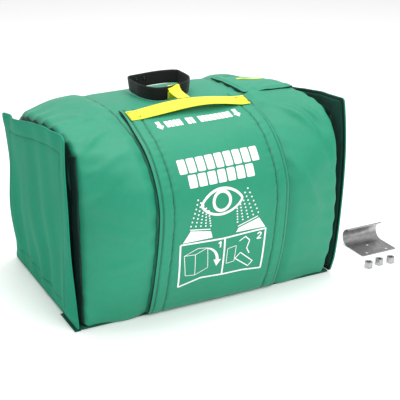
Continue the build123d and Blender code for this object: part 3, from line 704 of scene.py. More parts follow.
@dataclass(frozen=True)
class LoopPile:
    """Fuzzy loop lining: a deep, uneven pile that scatters light."""

    name: str
    tone: Colour
    shade: Colour

    def make(self) -> Material:
        """Builds the material.

        Returns:
            The new material.
        """
        board = Board(self.name, Place.SHAPE)
        tone = board.group(Groups.mottle(), Place=board.shape, Coarse=40.0, Fine=420.0)
        colour = board.blend(self.shade, self.tone, board.spread(tone, -0.5, 1.5))
        board.wire("Base Color", colour)
        board.wire("Normal", board.bump(tone, 0.003, 0.9))
        board.put(Roughness=0.95, Sheen_Weight=0.08, Sheen_Roughness=0.6, Specular_IOR_Level=0.1)
        return board.material


@dataclass(frozen=True)
class Moulded:
    """Moulded plastic or rubber: faint orange peel, scuffs at the edges and a little dust."""

    name: str
    tone: Colour
    shade: Colour
    rough: float = 0.4
    peel: float = 120.0
    coat: float = 0.0

    def make(self) -> Material:
        """Builds the material.

        Returns:
            The new material.
        """
        board = Board(self.name, Place.SHAPE)
        tone = board.group(Groups.mottle(), Place=board.shape, Coarse=9.0, Fine=self.peel)
        colour = board.blend(self.shade, self.tone, board.spread(tone, -0.1, 1.1))
        wear = board.group(Groups.wear(), Place=board.shape, Amount=0.4)
        colour = board.blend(colour, srgb(225, 225, 220), wear)
        board.wire("Base Color", colour)
        board.wire("Roughness", board.spread(tone, self.rough - 0.1, self.rough + 0.12))
        board.wire("Normal", board.bump(tone, 0.0008, 0.25))
        board.put(Coat_Weight=self.coat)
        return board.material


@dataclass(frozen=True)
class Metal:
    """Brushed, machined or plated metal, with fine scratches along one direction."""

    name: str
    tone: Colour
    shade: Colour
    rough: float = 0.3
    grain: tuple[float, float, float] = (1.0, 1.0, 1.0)

    def make(self) -> Material:
        """Builds the material: noise stretched along the grain scatters tone and gloss.

        Returns:
            The new material.
        """
        board = Board(self.name, Place.SHAPE)
        stretch = board.tree.nodes.new("ShaderNodeMapping")
        stretch.inputs["Scale"].default_value = self.grain
        board.tree.links.new(board.shape, stretch.inputs["Vector"])
        noise = board.tree.nodes.new("ShaderNodeTexNoise")
        noise.inputs["Scale"].default_value = 220.0
        noise.inputs["Detail"].default_value = 4.0
        board.tree.links.new(stretch.outputs[0], noise.inputs["Vector"])
        tone = board.group(Groups.mottle(), Place=board.shape, Coarse=25.0, Fine=160.0)
        colour = board.blend(self.shade, self.tone, board.spread(tone, -0.2, 1.2))
        wear = board.group(Groups.wear(), Place=board.shape, Amount=0.5)
        board.wire("Base Color", board.blend(colour, srgb(240, 240, 240), wear))
        board.wire("Roughness", board.spread(noise.outputs["Fac"], self.rough - 0.12, self.rough + 0.14))
        board.wire("Normal", board.bump(noise.outputs["Fac"], 0.0002, 0.3))
        board.put(Metallic=1.0)
        return board.material


@dataclass(frozen=True)
class Ink:
    """Screen print on cloth: slightly uneven white ink that lets the weave through."""

    name: str
    tone: Colour

    def make(self) -> Material:
        """Builds the material.

        Returns:
            The new material.
        """
        board = Board(self.name, Place.SHAPE)
        tone = board.group(Groups.mottle(), Place=board.shape, Coarse=30.0, Fine=600.0)
        colour = board.blend(srgb(214, 228, 220), self.tone, board.spread(tone, 0.2, 1.6))
        board.wire("Base Color", colour)
        board.wire("Normal", board.bump(tone, 0.0004, 0.3))
        board.put(Roughness=0.6)
        return board.material


class Palette:
    """Every finish of the object, made once and looked up by name."""

    def __init__(self) -> None:
        """Makes the materials."""
        green, deep = srgb(38, 152, 118), srgb(30, 138, 106)
        # Painted shade on the seam lines. On the jacket at 0.1965, beside the flap's edges, it stands for the
        # flap's shadow. On the flap and the end panels it stands for the shade in their stitched grooves.
        self.jacket = WovenCloth("jacket_nylon", green, deep, seams=(0.1965,), groove=1.1).make()
        self.flap = WovenCloth("flap_nylon", green, deep, seams=(0.153, 0.183), groove=0.75).make()
        self.panel = WovenCloth(
            "panel_nylon",
            srgb(38, 154, 120),
            srgb(26, 130, 100),
            rough=0.7,
            sheen=0.0,
            seams=(0.046,),
            groove=0.5,
            gloss=0.12,
        ).make()
        self.gusset = WovenCloth("gusset_nylon", srgb(12, 96, 78), srgb(6, 74, 60), gloss=0.15).make()
        self.pile = LoopPile("loop_pile", srgb(12, 84, 68), srgb(4, 50, 42)).make()
        # Painted shade: a near-black green laid on the flaps' rims, the panels' inner sides and the strips in
        # the end gaps, where shade falls.
        self.shadow = WovenCloth("edge_binding", srgb(6, 50, 42), srgb(4, 40, 34)).make()
        self.yellow = WovenCloth(
            "yellow_webbing",
            srgb(254, 252, 64),
            srgb(248, 244, 46),
            pitch=0.0022,
            relief=0.0004,
            rough=0.6,
            sheen=0.2,
            seams=(0.0195,),
            thread=srgb(235, 225, 60),
        ).make()
        self.thread = WovenCloth("strap_thread", srgb(150, 146, 48), srgb(118, 114, 34), pitch=0.0008).make()
        self.black = WovenCloth(
            "black_webbing",
            srgb(26, 25, 25),
            srgb(14, 14, 14),
            pitch=0.0022,
            relief=0.0005,
            rough=0.65,
            sheen=0.1,
            seams=(0.015,),
            thread=srgb(20, 20, 20),
        ).make()
        self.batting = WovenCloth(
            "quilt_batting",
            srgb(214, 214, 206),
            srgb(190, 190, 182),
            pitch=0.002,
            relief=0.0003,
            rough=0.8,
            sheen=0.4,
        ).make()
        self.ink = Ink("white_ink", srgb(250, 252, 250)).make()
        self.mouldings()
        self.metals()

    def mouldings(self) -> None:
        """Makes the plastics and the rubber."""
        pale, ivory = srgb(232, 236, 228), srgb(214, 220, 210)
        self.tank = Moulded("tank_polyethylene", pale, ivory, rough=0.45, peel=60.0).make()
        lemon, amber = srgb(250, 214, 30), srgb(238, 196, 20)
        self.tray = Moulded("yellow_moulding", lemon, amber, rough=0.35, peel=90.0, coat=0.15).make()
        self.dark = Moulded("black_moulding", srgb(38, 38, 40), srgb(24, 24, 26), rough=0.5, peel=150.0).make()
        white, grey = srgb(236, 236, 232), srgb(220, 220, 216)
        self.white = Moulded("white_moulding", white, grey, rough=0.35, peel=90.0).make()
        self.rubber = Moulded("rubber", srgb(30, 30, 30), srgb(18, 18, 18), rough=0.75, peel=200.0).make()

    def metals(self) -> None:
        """Makes the steels, the brass and the plating of the snaps."""
        light, dull = srgb(152, 151, 150), srgb(126, 126, 127)
        self.steel = Metal("rolled_stainless", light, dull, rough=0.34, grain=(0.12, 1.0, 1.0)).make()
        light, dull = srgb(178, 178, 176), srgb(150, 150, 150)
        self.spacer = Metal("turned_stainless", light, dull, rough=0.28, grain=(1.0, 1.0, 0.2)).make()
        self.brass = Metal("machined_brass", srgb(206, 168, 92), srgb(176, 138, 66), rough=0.3).make()
        self.plating = Metal("plated_snap", srgb(66, 66, 68), srgb(42, 42, 44), rough=0.3).make()


def dress(piece: Piece, *materials: Material) -> None:
    """Replaces a piece's materials.

    Args:
        piece: The piece.
        materials: Its new materials, in slot order.
    """
    piece.data.materials.clear()
    for material in materials:
        piece.data.materials.append(material)


# ---------------- jacket


class Where(Enum):
    """Which of the jacket's outlines is meant."""

    LEFT = "left end"
    MIDDLE = "middle"
    RIGHT = "right end"


@dataclass
class Section:
    """The jacket's cross-section: full in the middle and boxier at its two ends."""

    depth: float = 0.520
    crown: float = 0.513
    bulge: float = 0.076
    base: float = 0.006
    full: float = 0.195
    end: float = 0.368
    skew: float = 0.010
    fall_left: float = 2.0
    fall_right: float = 1.7
    steps: tuple[int, ...] = (56, 32, 16, 40, 34, 52)

    def stations(self, where: Where) -> Array:
        """The section's key points, from the front bottom edge over the top to the back.

        Args:
            where: Place along the jacket.

        Returns:
            Points (Y, Z), one row each.
        """
        b, c, d = self.bulge, self.crown, self.depth
        back = [(d - 0.127, c - 0.038), (d - 0.048, c - 0.068), (d, 0.385), (d, self.base)]
        if where is Where.LEFT:
            rows = [(0, self.base), (0.000, 0.165), (0.004, 0.330), (0.012, 0.448), (0.058, c - 0.019),
                    (0.135, c - 0.012), (0.262, c - 0.020), *back]
        elif where is Where.RIGHT:
            rows = [(0, self.base), (-0.044, 0.165), (-0.040, 0.330), (-0.018, 0.450), (0.042, c - 0.013),
                    (0.115, c - 0.006), (0.262, c - 0.010), *back]
        else:
            rows = [(0, self.base), (-0.72 * b, 0.165), (-b, 0.330), (-0.022, 0.430), (0.090, c - 0.026),
                    (0.178, c - 0.0035), (0.270, c), (d - 0.135, c - 0.007),
                    (d - 0.042, c - 0.043), (d, 0.390), (d, self.base)]
        return np.array(rows, float) - [d / 2, 0]

    @staticmethod
    def arc(a: Array, b: Array, c: Array, count: int) -> Array:
        """Part of the circle through three points, from the first to the third.

        Args:
            a: First point.
            b: A point between the ends.
            c: Last point.
            count: How many points.

        Returns:
            Points of the arc, one row each.
        """
        m = np.array([b - a, c - a])
        centre = a + np.linalg.solve(2 * m, (m**2).sum(1))
        turn = np.unwrap([math.atan2(*(p - centre)[::-1]) for p in (a, b, c)])
        t = np.linspace(turn[0], turn[2], count)
        return centre + np.linalg.norm(a - centre) * np.stack([np.cos(t), np.sin(t)], 1)

    def outline(self, where: Where) -> Array:
        """The open outline from front bottom to back bottom, its kinks eased away.

        Args:
            where: Place along the jacket.

        Returns:
            Points (Y, Z), one row each.
        """
        p = self.stations(where)
        n = self.steps
        runs = [
            self.arc(p[0], p[1], p[2], n[0]),
            self.arc(p[2], p[3], p[4], n[1])[1:],
            np.linspace(p[4], p[5], n[2])[1:],
            self.arc(p[5], p[6], p[7], n[3])[1:],
            self.arc(p[7], p[8], p[9], n[4])[1:],
            np.linspace(p[9], p[10], n[5])[1:],
        ]
        line = np.concatenate(runs)
        for _ in range(14):
            line[1:-1] = 0.25 * line[:-2] + 0.5 * line[1:-1] + 0.25 * line[2:]
        return line

    def __post_init__(self) -> None:
        """Works out the outlines, their normals and the length along the middle one."""
        self.middle = self.outline(Where.MIDDLE)
        self.left = self.outline(Where.LEFT)
        self.right = self.outline(Where.RIGHT)
        self.run = np.concatenate([[0], np.cumsum(np.linalg.norm(np.diff(self.middle, axis=0), axis=1))])
        step = np.gradient(self.middle, axis=0)
        step /= np.linalg.norm(step, axis=1, keepdims=True)
        self.out = np.stack([-step[:, 1], step[:, 0]], 1)

    def share(self, x: Array) -> Array:
        """How much of the end's own outline shows at x: a power curve of the distance."""
        t = np.clip((np.abs(x) - self.full) / (self.end - self.full), 0, 1)
        return t ** np.where(x > 0, self.fall_right, self.fall_left)

    def lean(self, x: Array, z: Array) -> Array:
        """The left side stands a little further forward than the right, most at the shoulder."""
        rise = smooth_step(0.05, 0.42, z)
        return self.skew * np.clip(x / self.full, -1, 1) * rise * (1 - self.share(x))

    def point(self, x: Array, run: Array, lift: Array) -> Array:
        """Places on the middle section: outline point at a run length, moved out by lift.

        Args:
            x: Place along the jacket.
            run: Length along the outline from the front bottom edge.
            lift: Distance out from the jacket's skin.

        Returns:
            Points, with one more axis than the inputs.
        """
        x, run, lift = np.broadcast_arrays(x, run, lift)
        y = np.interp(run, self.run, self.middle[:, 0])
        z = np.interp(run, self.run, self.middle[:, 1])
        ny = np.interp(run, self.run, self.out[:, 0])
        nz = np.interp(run, self.run, self.out[:, 1])
        y, z = y + ny * lift, z + nz * lift
        return np.stack([x, y + self.lean(x, z), z], axis=-1)

    def run_at_height(self, z: float) -> float:
        """Run length where the front of the outline passes a height."""
        front = self.middle[: sum(self.steps[:2])]
        return float(np.interp(z, front[:, 1], self.run[: len(front)]))

    def run_at_depth(self, y: float) -> float:
        """Run length where the top of the outline passes a Y place.

        Args:
            y: The place.

        Returns:
            Distance along the outline.
        """
        first = sum(self.steps[:2])
        last = sum(self.steps[:4])
        return float(np.interp(y, self.middle[first:last, 0], self.run[first:last]))


@dataclass
class Jacket:
    """The padded jacket body, its base, hook strips and closure tabs."""

    section: Section
    palette: Palette
    half_flap: float = 0.193
    wall: float = 0.018
    round_end: float = 0.013
    door: tuple[float, float, float] = (0.150, 0.034, 0.440)
    hatch: tuple[float, float, float, float] = (0.210, 0.326, -0.008, 0.108)

    def swell(self, x: Array, run: Array, total: float) -> Array:
        """How far the skin stands out or in: soft pillows, gathers at the seams and creases.

        Args:
            x: Place along the jacket.
            run: Length along the outline.
            total: Whole length of the outline.

        Returns:
            Distance out from the plain section.
        """
        s = self.section
        beside = np.abs(x) - self.half_flap
        bay = smooth_step(0.0, 0.035, beside) * smooth_step(0.0, 0.10, s.end - np.abs(x))
        above = smooth_step(0.02, 0.12, run) * smooth_step(0.0, 0.2, total - run)
        pillow = 0.006 * bay * above + 0.0045 * bay * ripple(x, run, 0.17, 3)
        at_flap = np.exp(-np.clip(beside, 0, 1) / 0.035) * (beside > 0)
        at_end = np.exp(-np.clip(s.end - np.abs(x), 0, 1) / 0.040)
        fade = 1 - 0.5 * smooth_step(0.75, 0.95, run)
        deep = 0.0034 * at_flap + np.where(x > 0, 0.0026, 0.0048) * at_end
        gathers = ripple(run, x * 0.25, 0.034, 11) * fade * deep
        folds = (
            0.0060 * crease(x, run, (0.232, 0.60), (0.330, 0.44), 0.012)
            + 0.0050 * crease(x, run, (0.262, 0.63), (0.345, 0.50), 0.010)
            + 0.0045 * crease(x, run, (0.215, 0.40), (0.300, 0.24), 0.014)
            - 0.0045 * crease(x, run, (0.300, 0.56), (0.345, 0.36), 0.011)
            + 0.0050 * crease(x, run, (-0.360, 0.52), (-0.250, 0.60), 0.012)
            + 0.0045 * crease(x, run, (-0.358, 0.44), (-0.240, 0.50), 0.013)
            - 0.0040 * crease(x, run, (-0.350, 0.36), (-0.262, 0.43), 0.012)
            + 0.0040 * crease(x, run, (-0.355, 0.30), (-0.250, 0.26), 0.014)
            + 0.0035 * crease(x, run, (-0.340, 0.16), (-0.230, 0.20), 0.014)
            - 0.0050 * crease(x, run, (-0.330, 0.655), (-0.235, 0.70), 0.016)
            + 0.0040 * crease(x, run, (-0.300, 0.72), (-0.215, 0.60), 0.014)
        )
        back = 0.004 * ripple(x, run, 0.11, 23) * smooth_step(0.9, 1.05, run)
        dip = -0.0016 * np.exp(-((beside / 0.02) ** 2))
        rest = pillow + gathers + 1.6 * folds + back + dip
        under = np.abs(x) < self.half_flap
        front = run < s.run_at_depth(-0.066)
        return np.where(under & front, np.minimum(rest, 0.0) * 0.3, rest)

    def skin(self) -> Piece:
        """The outer skin with its front door and top hatch, then its padded thickness.

        The closed outline is carried along X. Its shape runs from the full section to the flat
        one, and past each end it turns in on a quarter circle and closes to the middle.

        Returns:
            The new object.
        """
        s = self.section
        n = len(s.middle)
        floor = np.linspace(0, 1, 60)[1:-1, None]
        loops = []
        for line in (s.middle, s.left, s.right):
            loops.append(np.concatenate([line, line[-1] + (line[0] - line[-1]) * floor]))
        total = float(s.run[-1])
        run = np.concatenate([s.run, total + floor[:, 0] * s.depth])
        turn = np.linspace(0, np.pi / 2, 7)[1:]
        plain = s.end - self.round_end
        stops = (-plain, -0.326, -self.half_flap, -self.door[0], self.door[0], self.half_flap,
                 self.hatch[0], self.hatch[1], plain)
        counts = (4, 22, 8, 44, 8, 4, 20, 4)
        x_mid = np.concatenate(
            [np.linspace(a, b, k, endpoint=False) for a, b, k in zip(stops, stops[1:], counts)] + [[plain]]
        )
        x_turn = plain + self.round_end * np.sin(turn)
        draw = self.round_end * (1 - np.cos(turn))
        close = np.array([0.93, 0.8, 0.6, 0.4, 0.2, 0.06, 0.0])
        x_cap = np.full(len(close), s.end)
        x = np.concatenate([-x_cap[::-1], -x_turn[::-1], x_mid, x_turn, x_cap])
        flat_end = np.full(len(close), self.round_end)
        inset = np.concatenate([flat_end, draw[::-1], 0 * x_mid, draw, flat_end])
        scale = np.concatenate([close[::-1], np.ones(6 + len(x_mid) + 6), close])
        part = s.share(x)[:, None, None]
        ends = np.where(x[:, None, None] < 0, loops[1][None], loops[2][None])
        yz = loops[0][None] * (1 - part) + ends * part
        centre = np.array([0.0, 0.24])
        step = np.roll(yz, -1, 1) - np.roll(yz, 1, 1)
        step /= np.linalg.norm(step, axis=2, keepdims=True)
        out = np.stack([-step[:, :, 1], step[:, :, 0]], 2)
        grid_x = np.broadcast_to(x[:, None], yz.shape[:2])
        lift = self.swell(grid_x, np.broadcast_to(run, yz.shape[:2]), total)
        lift = lift * (np.arange(len(run)) < n - 3)[None]
        yz = yz + out * lift[:, :, None]
        yz = centre + (yz - centre) * (scale * (1 - inset / centre[1]))[:, None, None]
        yz[:, :, 0] += s.lean(grid_x, yz[:, :, 1]) * (scale[:, None] > 0.99)
        puff = 0.004 * (1 - scale) ** 0.5 * np.sign(x)
        points = np.concatenate([(grid_x + puff[:, None])[:, :, None], yz], axis=2)
        points[:, n - 3 :, 2] = np.maximum(points[:, n - 3 :, 2], s.base)
        uv = np.stack(np.broadcast_arrays(grid_x, run[None]), axis=2)
        mid_x = 0.5 * (x[1:] + x[:-1])
        mid_run = 0.5 * (run + np.roll(run, -1))
        mid_run[-1] = run[-1]
        door_runs = (s.run_at_height(self.door[1]), s.run_at_height(self.door[2]))
        hatch_runs = (s.run_at_depth(self.hatch[2]), s.run_at_depth(self.hatch[3]))
        drop = np.outer(np.abs(mid_x) < self.door[0], (mid_run > door_runs[0]) & (mid_run < door_runs[1]))
        drop |= np.outer(
            (mid_x > self.hatch[0]) & (mid_x < self.hatch[1]),
            (mid_run > hatch_runs[0]) & (mid_run < hatch_runs[1]),
        )
        piece = put_grid("jacket_skin", points, (False, True), uv=uv, drop=drop)
        dress(piece, self.palette.jacket, self.palette.pile, self.palette.gusset, self.palette.pile)
        ends = np.repeat((np.abs(mid_x) > plain + self.round_end * 0.93)[:, None], len(run), axis=1)
        piece.data.polygons.foreach_set("material_index", (ends[~drop] * 2).astype(np.int32))
        pole = piece.modifiers.new("pole", "WELD")
        pole.merge_threshold = 1e-5
        solid(piece, self.wall, inside=1)
        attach(piece, "station")
        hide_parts("jacket_body")
        return piece

    def base(self) -> Piece:
        """The base sheet: a thin board with a soft rounded rim, proud of the body by a finger.

        Returns:
            The new object.
        """
        low, high = (np.array(v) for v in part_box("base_sheet"))
        return pad("base_pad", low, high, 0.0028, 0.0, self.palette.gusset, "station", "base_sheet",
                   (60, 44, 4))

    def flange(self) -> Piece:
        """A short hem of the base sheet that sticks out at its left front corner.

        Returns:
            The new object.
        """
        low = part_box("base_sheet")[0]
        corner = np.array([low[0] - 0.013, low[1] - 0.002, 0.0])
        return pad("base_flange", corner, corner + [0.017, 0.112, 0.0016], 0.0007, 0.0, self.palette.gusset,
                   "station", "base_sheet", (6, 30, 2))

    def strips(self) -> list[Piece]:
        """Two fuzzy strips on the skin beside the door, where the flap's edges hold.

        Returns:
            The new objects.
        """
        made = []
        for name, side in (("left", -1), ("right", 1)):
            x = side * (0.155 + np.linspace(0, 0.030, 7))
            run = np.linspace(self.section.run_at_height(0.102), self.section.run_at_depth(-0.09), 90)
            points = self.section.point(x[:, None], run[None], 0.0023 + 0 * x[:, None])
            uv = np.stack(np.broadcast_arrays(x[:, None], run[None]), axis=2)
            piece = put_grid("hook_strip_pile_" + name, points, flip=side < 0, uv=uv)
            dress(piece, self.palette.pile)
            solid(piece, 0.0022)
            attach(piece, "station")
            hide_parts("hook_strip_" + name)
            made.append(piece)
        return made

    def gap_shades(self) -> list[Piece]:
        """A near-black strip of painted shade down the front corner at each end, in the gap to the end panel.

        Returns:
            The new objects.
        """
        made = []
        for name, side in (("left", -1), ("right", 1)):
            z = np.linspace(0.012, 0.470, 60)
            y = -0.2435 + (0.0 if side < 0 else -0.030) * np.sin(np.pi * z / 0.5) + 0.0012 * np.sin(z * 60)
            path = np.stack([side * (0.3735 + 0.0010 * np.sin(z * 47)), y, z], axis=1)
            across = np.tile([0.55 * side, 0.835, 0.0], (60, 1))
            piece = ribbon(name + "_closure_tape", path, across, 0.022, 0.0016, False, 5)
            # Painted shade: the strip's near-black colour stands for the shade in the gap.
            dress(piece, self.palette.shadow)
            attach(piece, "station")
            made.append(piece)
        return made

    def tabs(self) -> list[Piece]:
        """Short hanging closure tabs at the body's two front top corners.

        Returns:
            The new objects.
        """
        made = []
        for name, side in (("left", -1), ("right", 1)):
            low, high = (np.array(v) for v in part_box(name + "_closure_tab"))
            t = np.linspace(0, 1, 20)
            middle = (low + high) / 2
            path = np.stack(
                [middle[0] + side * 0.003 * np.sin(np.pi * t), middle[1] + 0.002 * np.sin(2 * np.pi * t),
                 high[2] + (low[2] - high[2]) * t], axis=1)
            across = np.tile([1.0, 0, 0], (20, 1))
            piece = ribbon(name + "_hanging_tab", path, across, high[0] - low[0], 0.002, False)
            dress(piece, self.palette.gusset)
            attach(piece, "station")
            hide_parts(name + "_closure_tab")
            made.append(piece)
        return made


def pad(
    name: str,
    low: Array,
    high: Array,
    radius: float,
    puff: float,
    material: Material,
    body: str,
    node: str,
    steps: tuple[int, int, int] = (24, 24, 6),
    quilt: float = 0.0,
) -> Piece:
    """A soft block: a box whose six sides are grids, rounded at the edges and crowned.

    Each point of the unit cube's surface is pulled in to a smaller box and pushed back out
    along its own direction by the edge radius. Quilting adds a sine pattern to its wide faces.

    Args:
        name: Name of the piece.
        low: Lowest corner.
        high: Highest corner.
        radius: Edge radius.
        puff: How far the middle of each side is crowned, inside the box.
        material: Its finish.
        body: Body it rides on.
        node: Solid it stands for.
        steps: Grid steps along X, Y and Z.
        quilt: Pitch of the quilting, or 0 for none.

    Returns:
        The new object.
    """
    size = high - low
    middle = (high + low) / 2
    chunks, quads, first = [], [], 0
    for axis in range(3):
        a, b = [k for k in range(3) if k != axis]
        u = np.linspace(-1, 1, steps[a] + 1)
        v = np.linspace(-1, 1, steps[b] + 1)
        grid_u, grid_v = np.meshgrid(u, v, indexing="ij")
        for side in (-1, 1):
            cube = np.empty(grid_u.shape + (3,))
            cube[..., a], cube[..., b], cube[..., axis] = grid_u, grid_v, side
            turned = (side > 0) != (axis == 1)
            chunks.append(cube.reshape(-1, 3))
            quads.append(grid_faces(*grid_u.shape, (False, False), not turned).reshape(-1, 4) + first)
            first += grid_u.size
    cube = np.concatenate(chunks)
    full = cube * size / 2
    core = np.clip(full, -(size / 2 - radius), size / 2 - radius)
    away = full - core
    length = np.maximum(np.linalg.norm(away, axis=1, keepdims=True), 1e-9)
    points = core + away / length * radius
    crown = np.prod(np.cos(cube * np.pi / 2 * 0.999) + (np.abs(cube) > 0.98), axis=1, keepdims=True)
    points -= np.sign(full) * (np.abs(cube) > 0.98) * puff * (1 - np.clip(crown, 0, 1))
    if quilt > 0:
        wide = int(np.argmin(size))
        a, b = [k for k in range(3) if k != wide]
        wave = np.abs(np.sin(points[:, a] * np.pi / quilt) * np.sin(points[:, b] * np.pi / quilt)) ** 0.5
        points[:, wide] -= np.sign(cube[:, wide]) * (np.abs(cube[:, wide]) > 0.98) * 0.005 * (1 - wave)
    points = points + middle
    piece = put_mesh(name, points, np.concatenate(quads), points[:, :2].copy())
    weld = piece.modifiers.new("seam", "WELD")
    weld.merge_threshold = 1e-5
    dress(piece, material)
    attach(piece, body)
    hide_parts(node)
    return piece


# ---------------- front flap


@dataclass
class FrontFlap:
    """The padded front flap with its stitched bands, and the white print on it."""

    section: Section
    palette: Palette
    half: float = 0.193
    rest: float = 0.003
    thick: float = 0.0098
    seam: float = 0.153
    hem: float = 0.183
    ink_lift: float = 0.0005

    def __post_init__(self) -> None:
        """Works out where the flap starts and ends along the section."""
        self.first = 0.001
        self.last = self.section.run_at_depth(-0.070)

    def height(self, x: Array, run: Array) -> Array:
        """Height of the flap's face above the jacket.

        It is full in the middle, dips at the two stitched seams near each side, thins towards
        its edges, and carries a few soft wrinkles that run down from the strap and along the
        seams.

        Args:
            x: Places across the flap.
            run: Run lengths, one for each place.

        Returns:
            Height at each place.
        """
        edge = self.half - np.abs(x)
        face = self.thick * (0.55 + 0.45 * smooth_step(0.0, 0.014, edge))
        seam = np.exp(-((np.abs(x) - self.seam) / 0.0035) ** 2)
        seam = seam + 0.7 * np.exp(-((np.abs(x) - self.hem) / 0.0025) ** 2)
        pucker = ripple(run, x * 0.3, 0.022, 5) * np.exp(-(np.abs(np.abs(x) - self.seam) / 0.016) ** 1.5)
        ends = smooth_step(0.0, 0.02, run - self.first) * smooth_step(0.0, 0.015, self.last - run)
        soft = 0.0010 * ripple(x, run, 0.15, 17)
        folds = (
            -0.0022 * crease(x, run, (0.035, 0.375), (0.070, 0.30), 0.010)
            + 0.0018 * crease(x, run, (0.080, 0.52), (0.148, 0.47), 0.012)
            - 0.0015 * crease(x, run, (-0.145, 0.56), (-0.135, 0.44), 0.010)
            + 0.0014 * crease(x, run, (0.110, 0.22), (0.150, 0.30), 0.012)
        )
        top = face - 0.0040 * seam + 0.0014 * pucker + soft + folds
        return self.rest + np.maximum(top * (0.35 + 0.65 * ends), 0.003)

    def pad(self) -> Piece:
        """One pad from the bottom hem to behind the strap, bending over the fold line.

        A slim closed outline, the face above and the back below, is carried along the
        section's run, and both ends are closed.

        Returns:
            The new object.
        """
        k = 97
        x = self.half * np.sin(np.linspace(-1, 1, k) * np.pi / 2 * 0.92) / math.sin(np.pi / 2 * 0.92)
        run = np.concatenate([np.linspace(self.first, 0.62, 150), np.linspace(0.62, self.last, 34)[1:]])
        taper = 1 - 0.055 * smooth_step(self.last - 0.16, self.last - 0.03, run)[:, None]
        wide = x[None] * taper
        face = self.section.point(wide, run[:, None], self.height(x[None], run[:, None]))
        back = self.section.point(wide, run[:, None], self.rest + 0 * x[None])
        points = np.concatenate([face, back[:, ::-1]], axis=1)
        side = np.concatenate([x, x[::-1]])
        uv = np.stack(np.broadcast_arrays(side[None], run[:, None]), axis=2)
        points[..., 2] = np.maximum(points[..., 2], 0.0012)
        piece = put_grid("flap_pad", points, (False, True), uv=uv)
        cap_ends(piece, len(run), 2 * k)
        # Slot 1 is painted shade: the flap's side rims take the near-black edge material, for the shade under
        # the flap's edges.
        dress(piece, self.palette.flap, self.palette.shadow)
        edge = np.abs(np.concatenate([x[1:] + x[:-1], [0], x[1:] + x[:-1], [0]]) / 2) > self.half * 0.9965
        edge[k - 1] = edge[-1] = True
        index = np.zeros(len(piece.data.polygons), np.int32)
        index[: (len(run) - 1) * 2 * k] = np.tile(edge, len(run) - 1)
        piece.data.polygons.foreach_set("material_index", index)
        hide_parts("front_flap", "flap_root", "flap_band_left", "flap_band_right")
        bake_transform(piece)
        return piece

    def on_face(self, x: Array, run: Array) -> Array:
        """Points just proud of the flap's face, for the print."""
        return self.section.point(x, run, self.height(x, run) + self.ink_lift)

    def print_all(self) -> list[Piece]:
        """The printed marks, each a thin layer of ink on the flap."""
        artist = Print(self)
        return artist.draw()


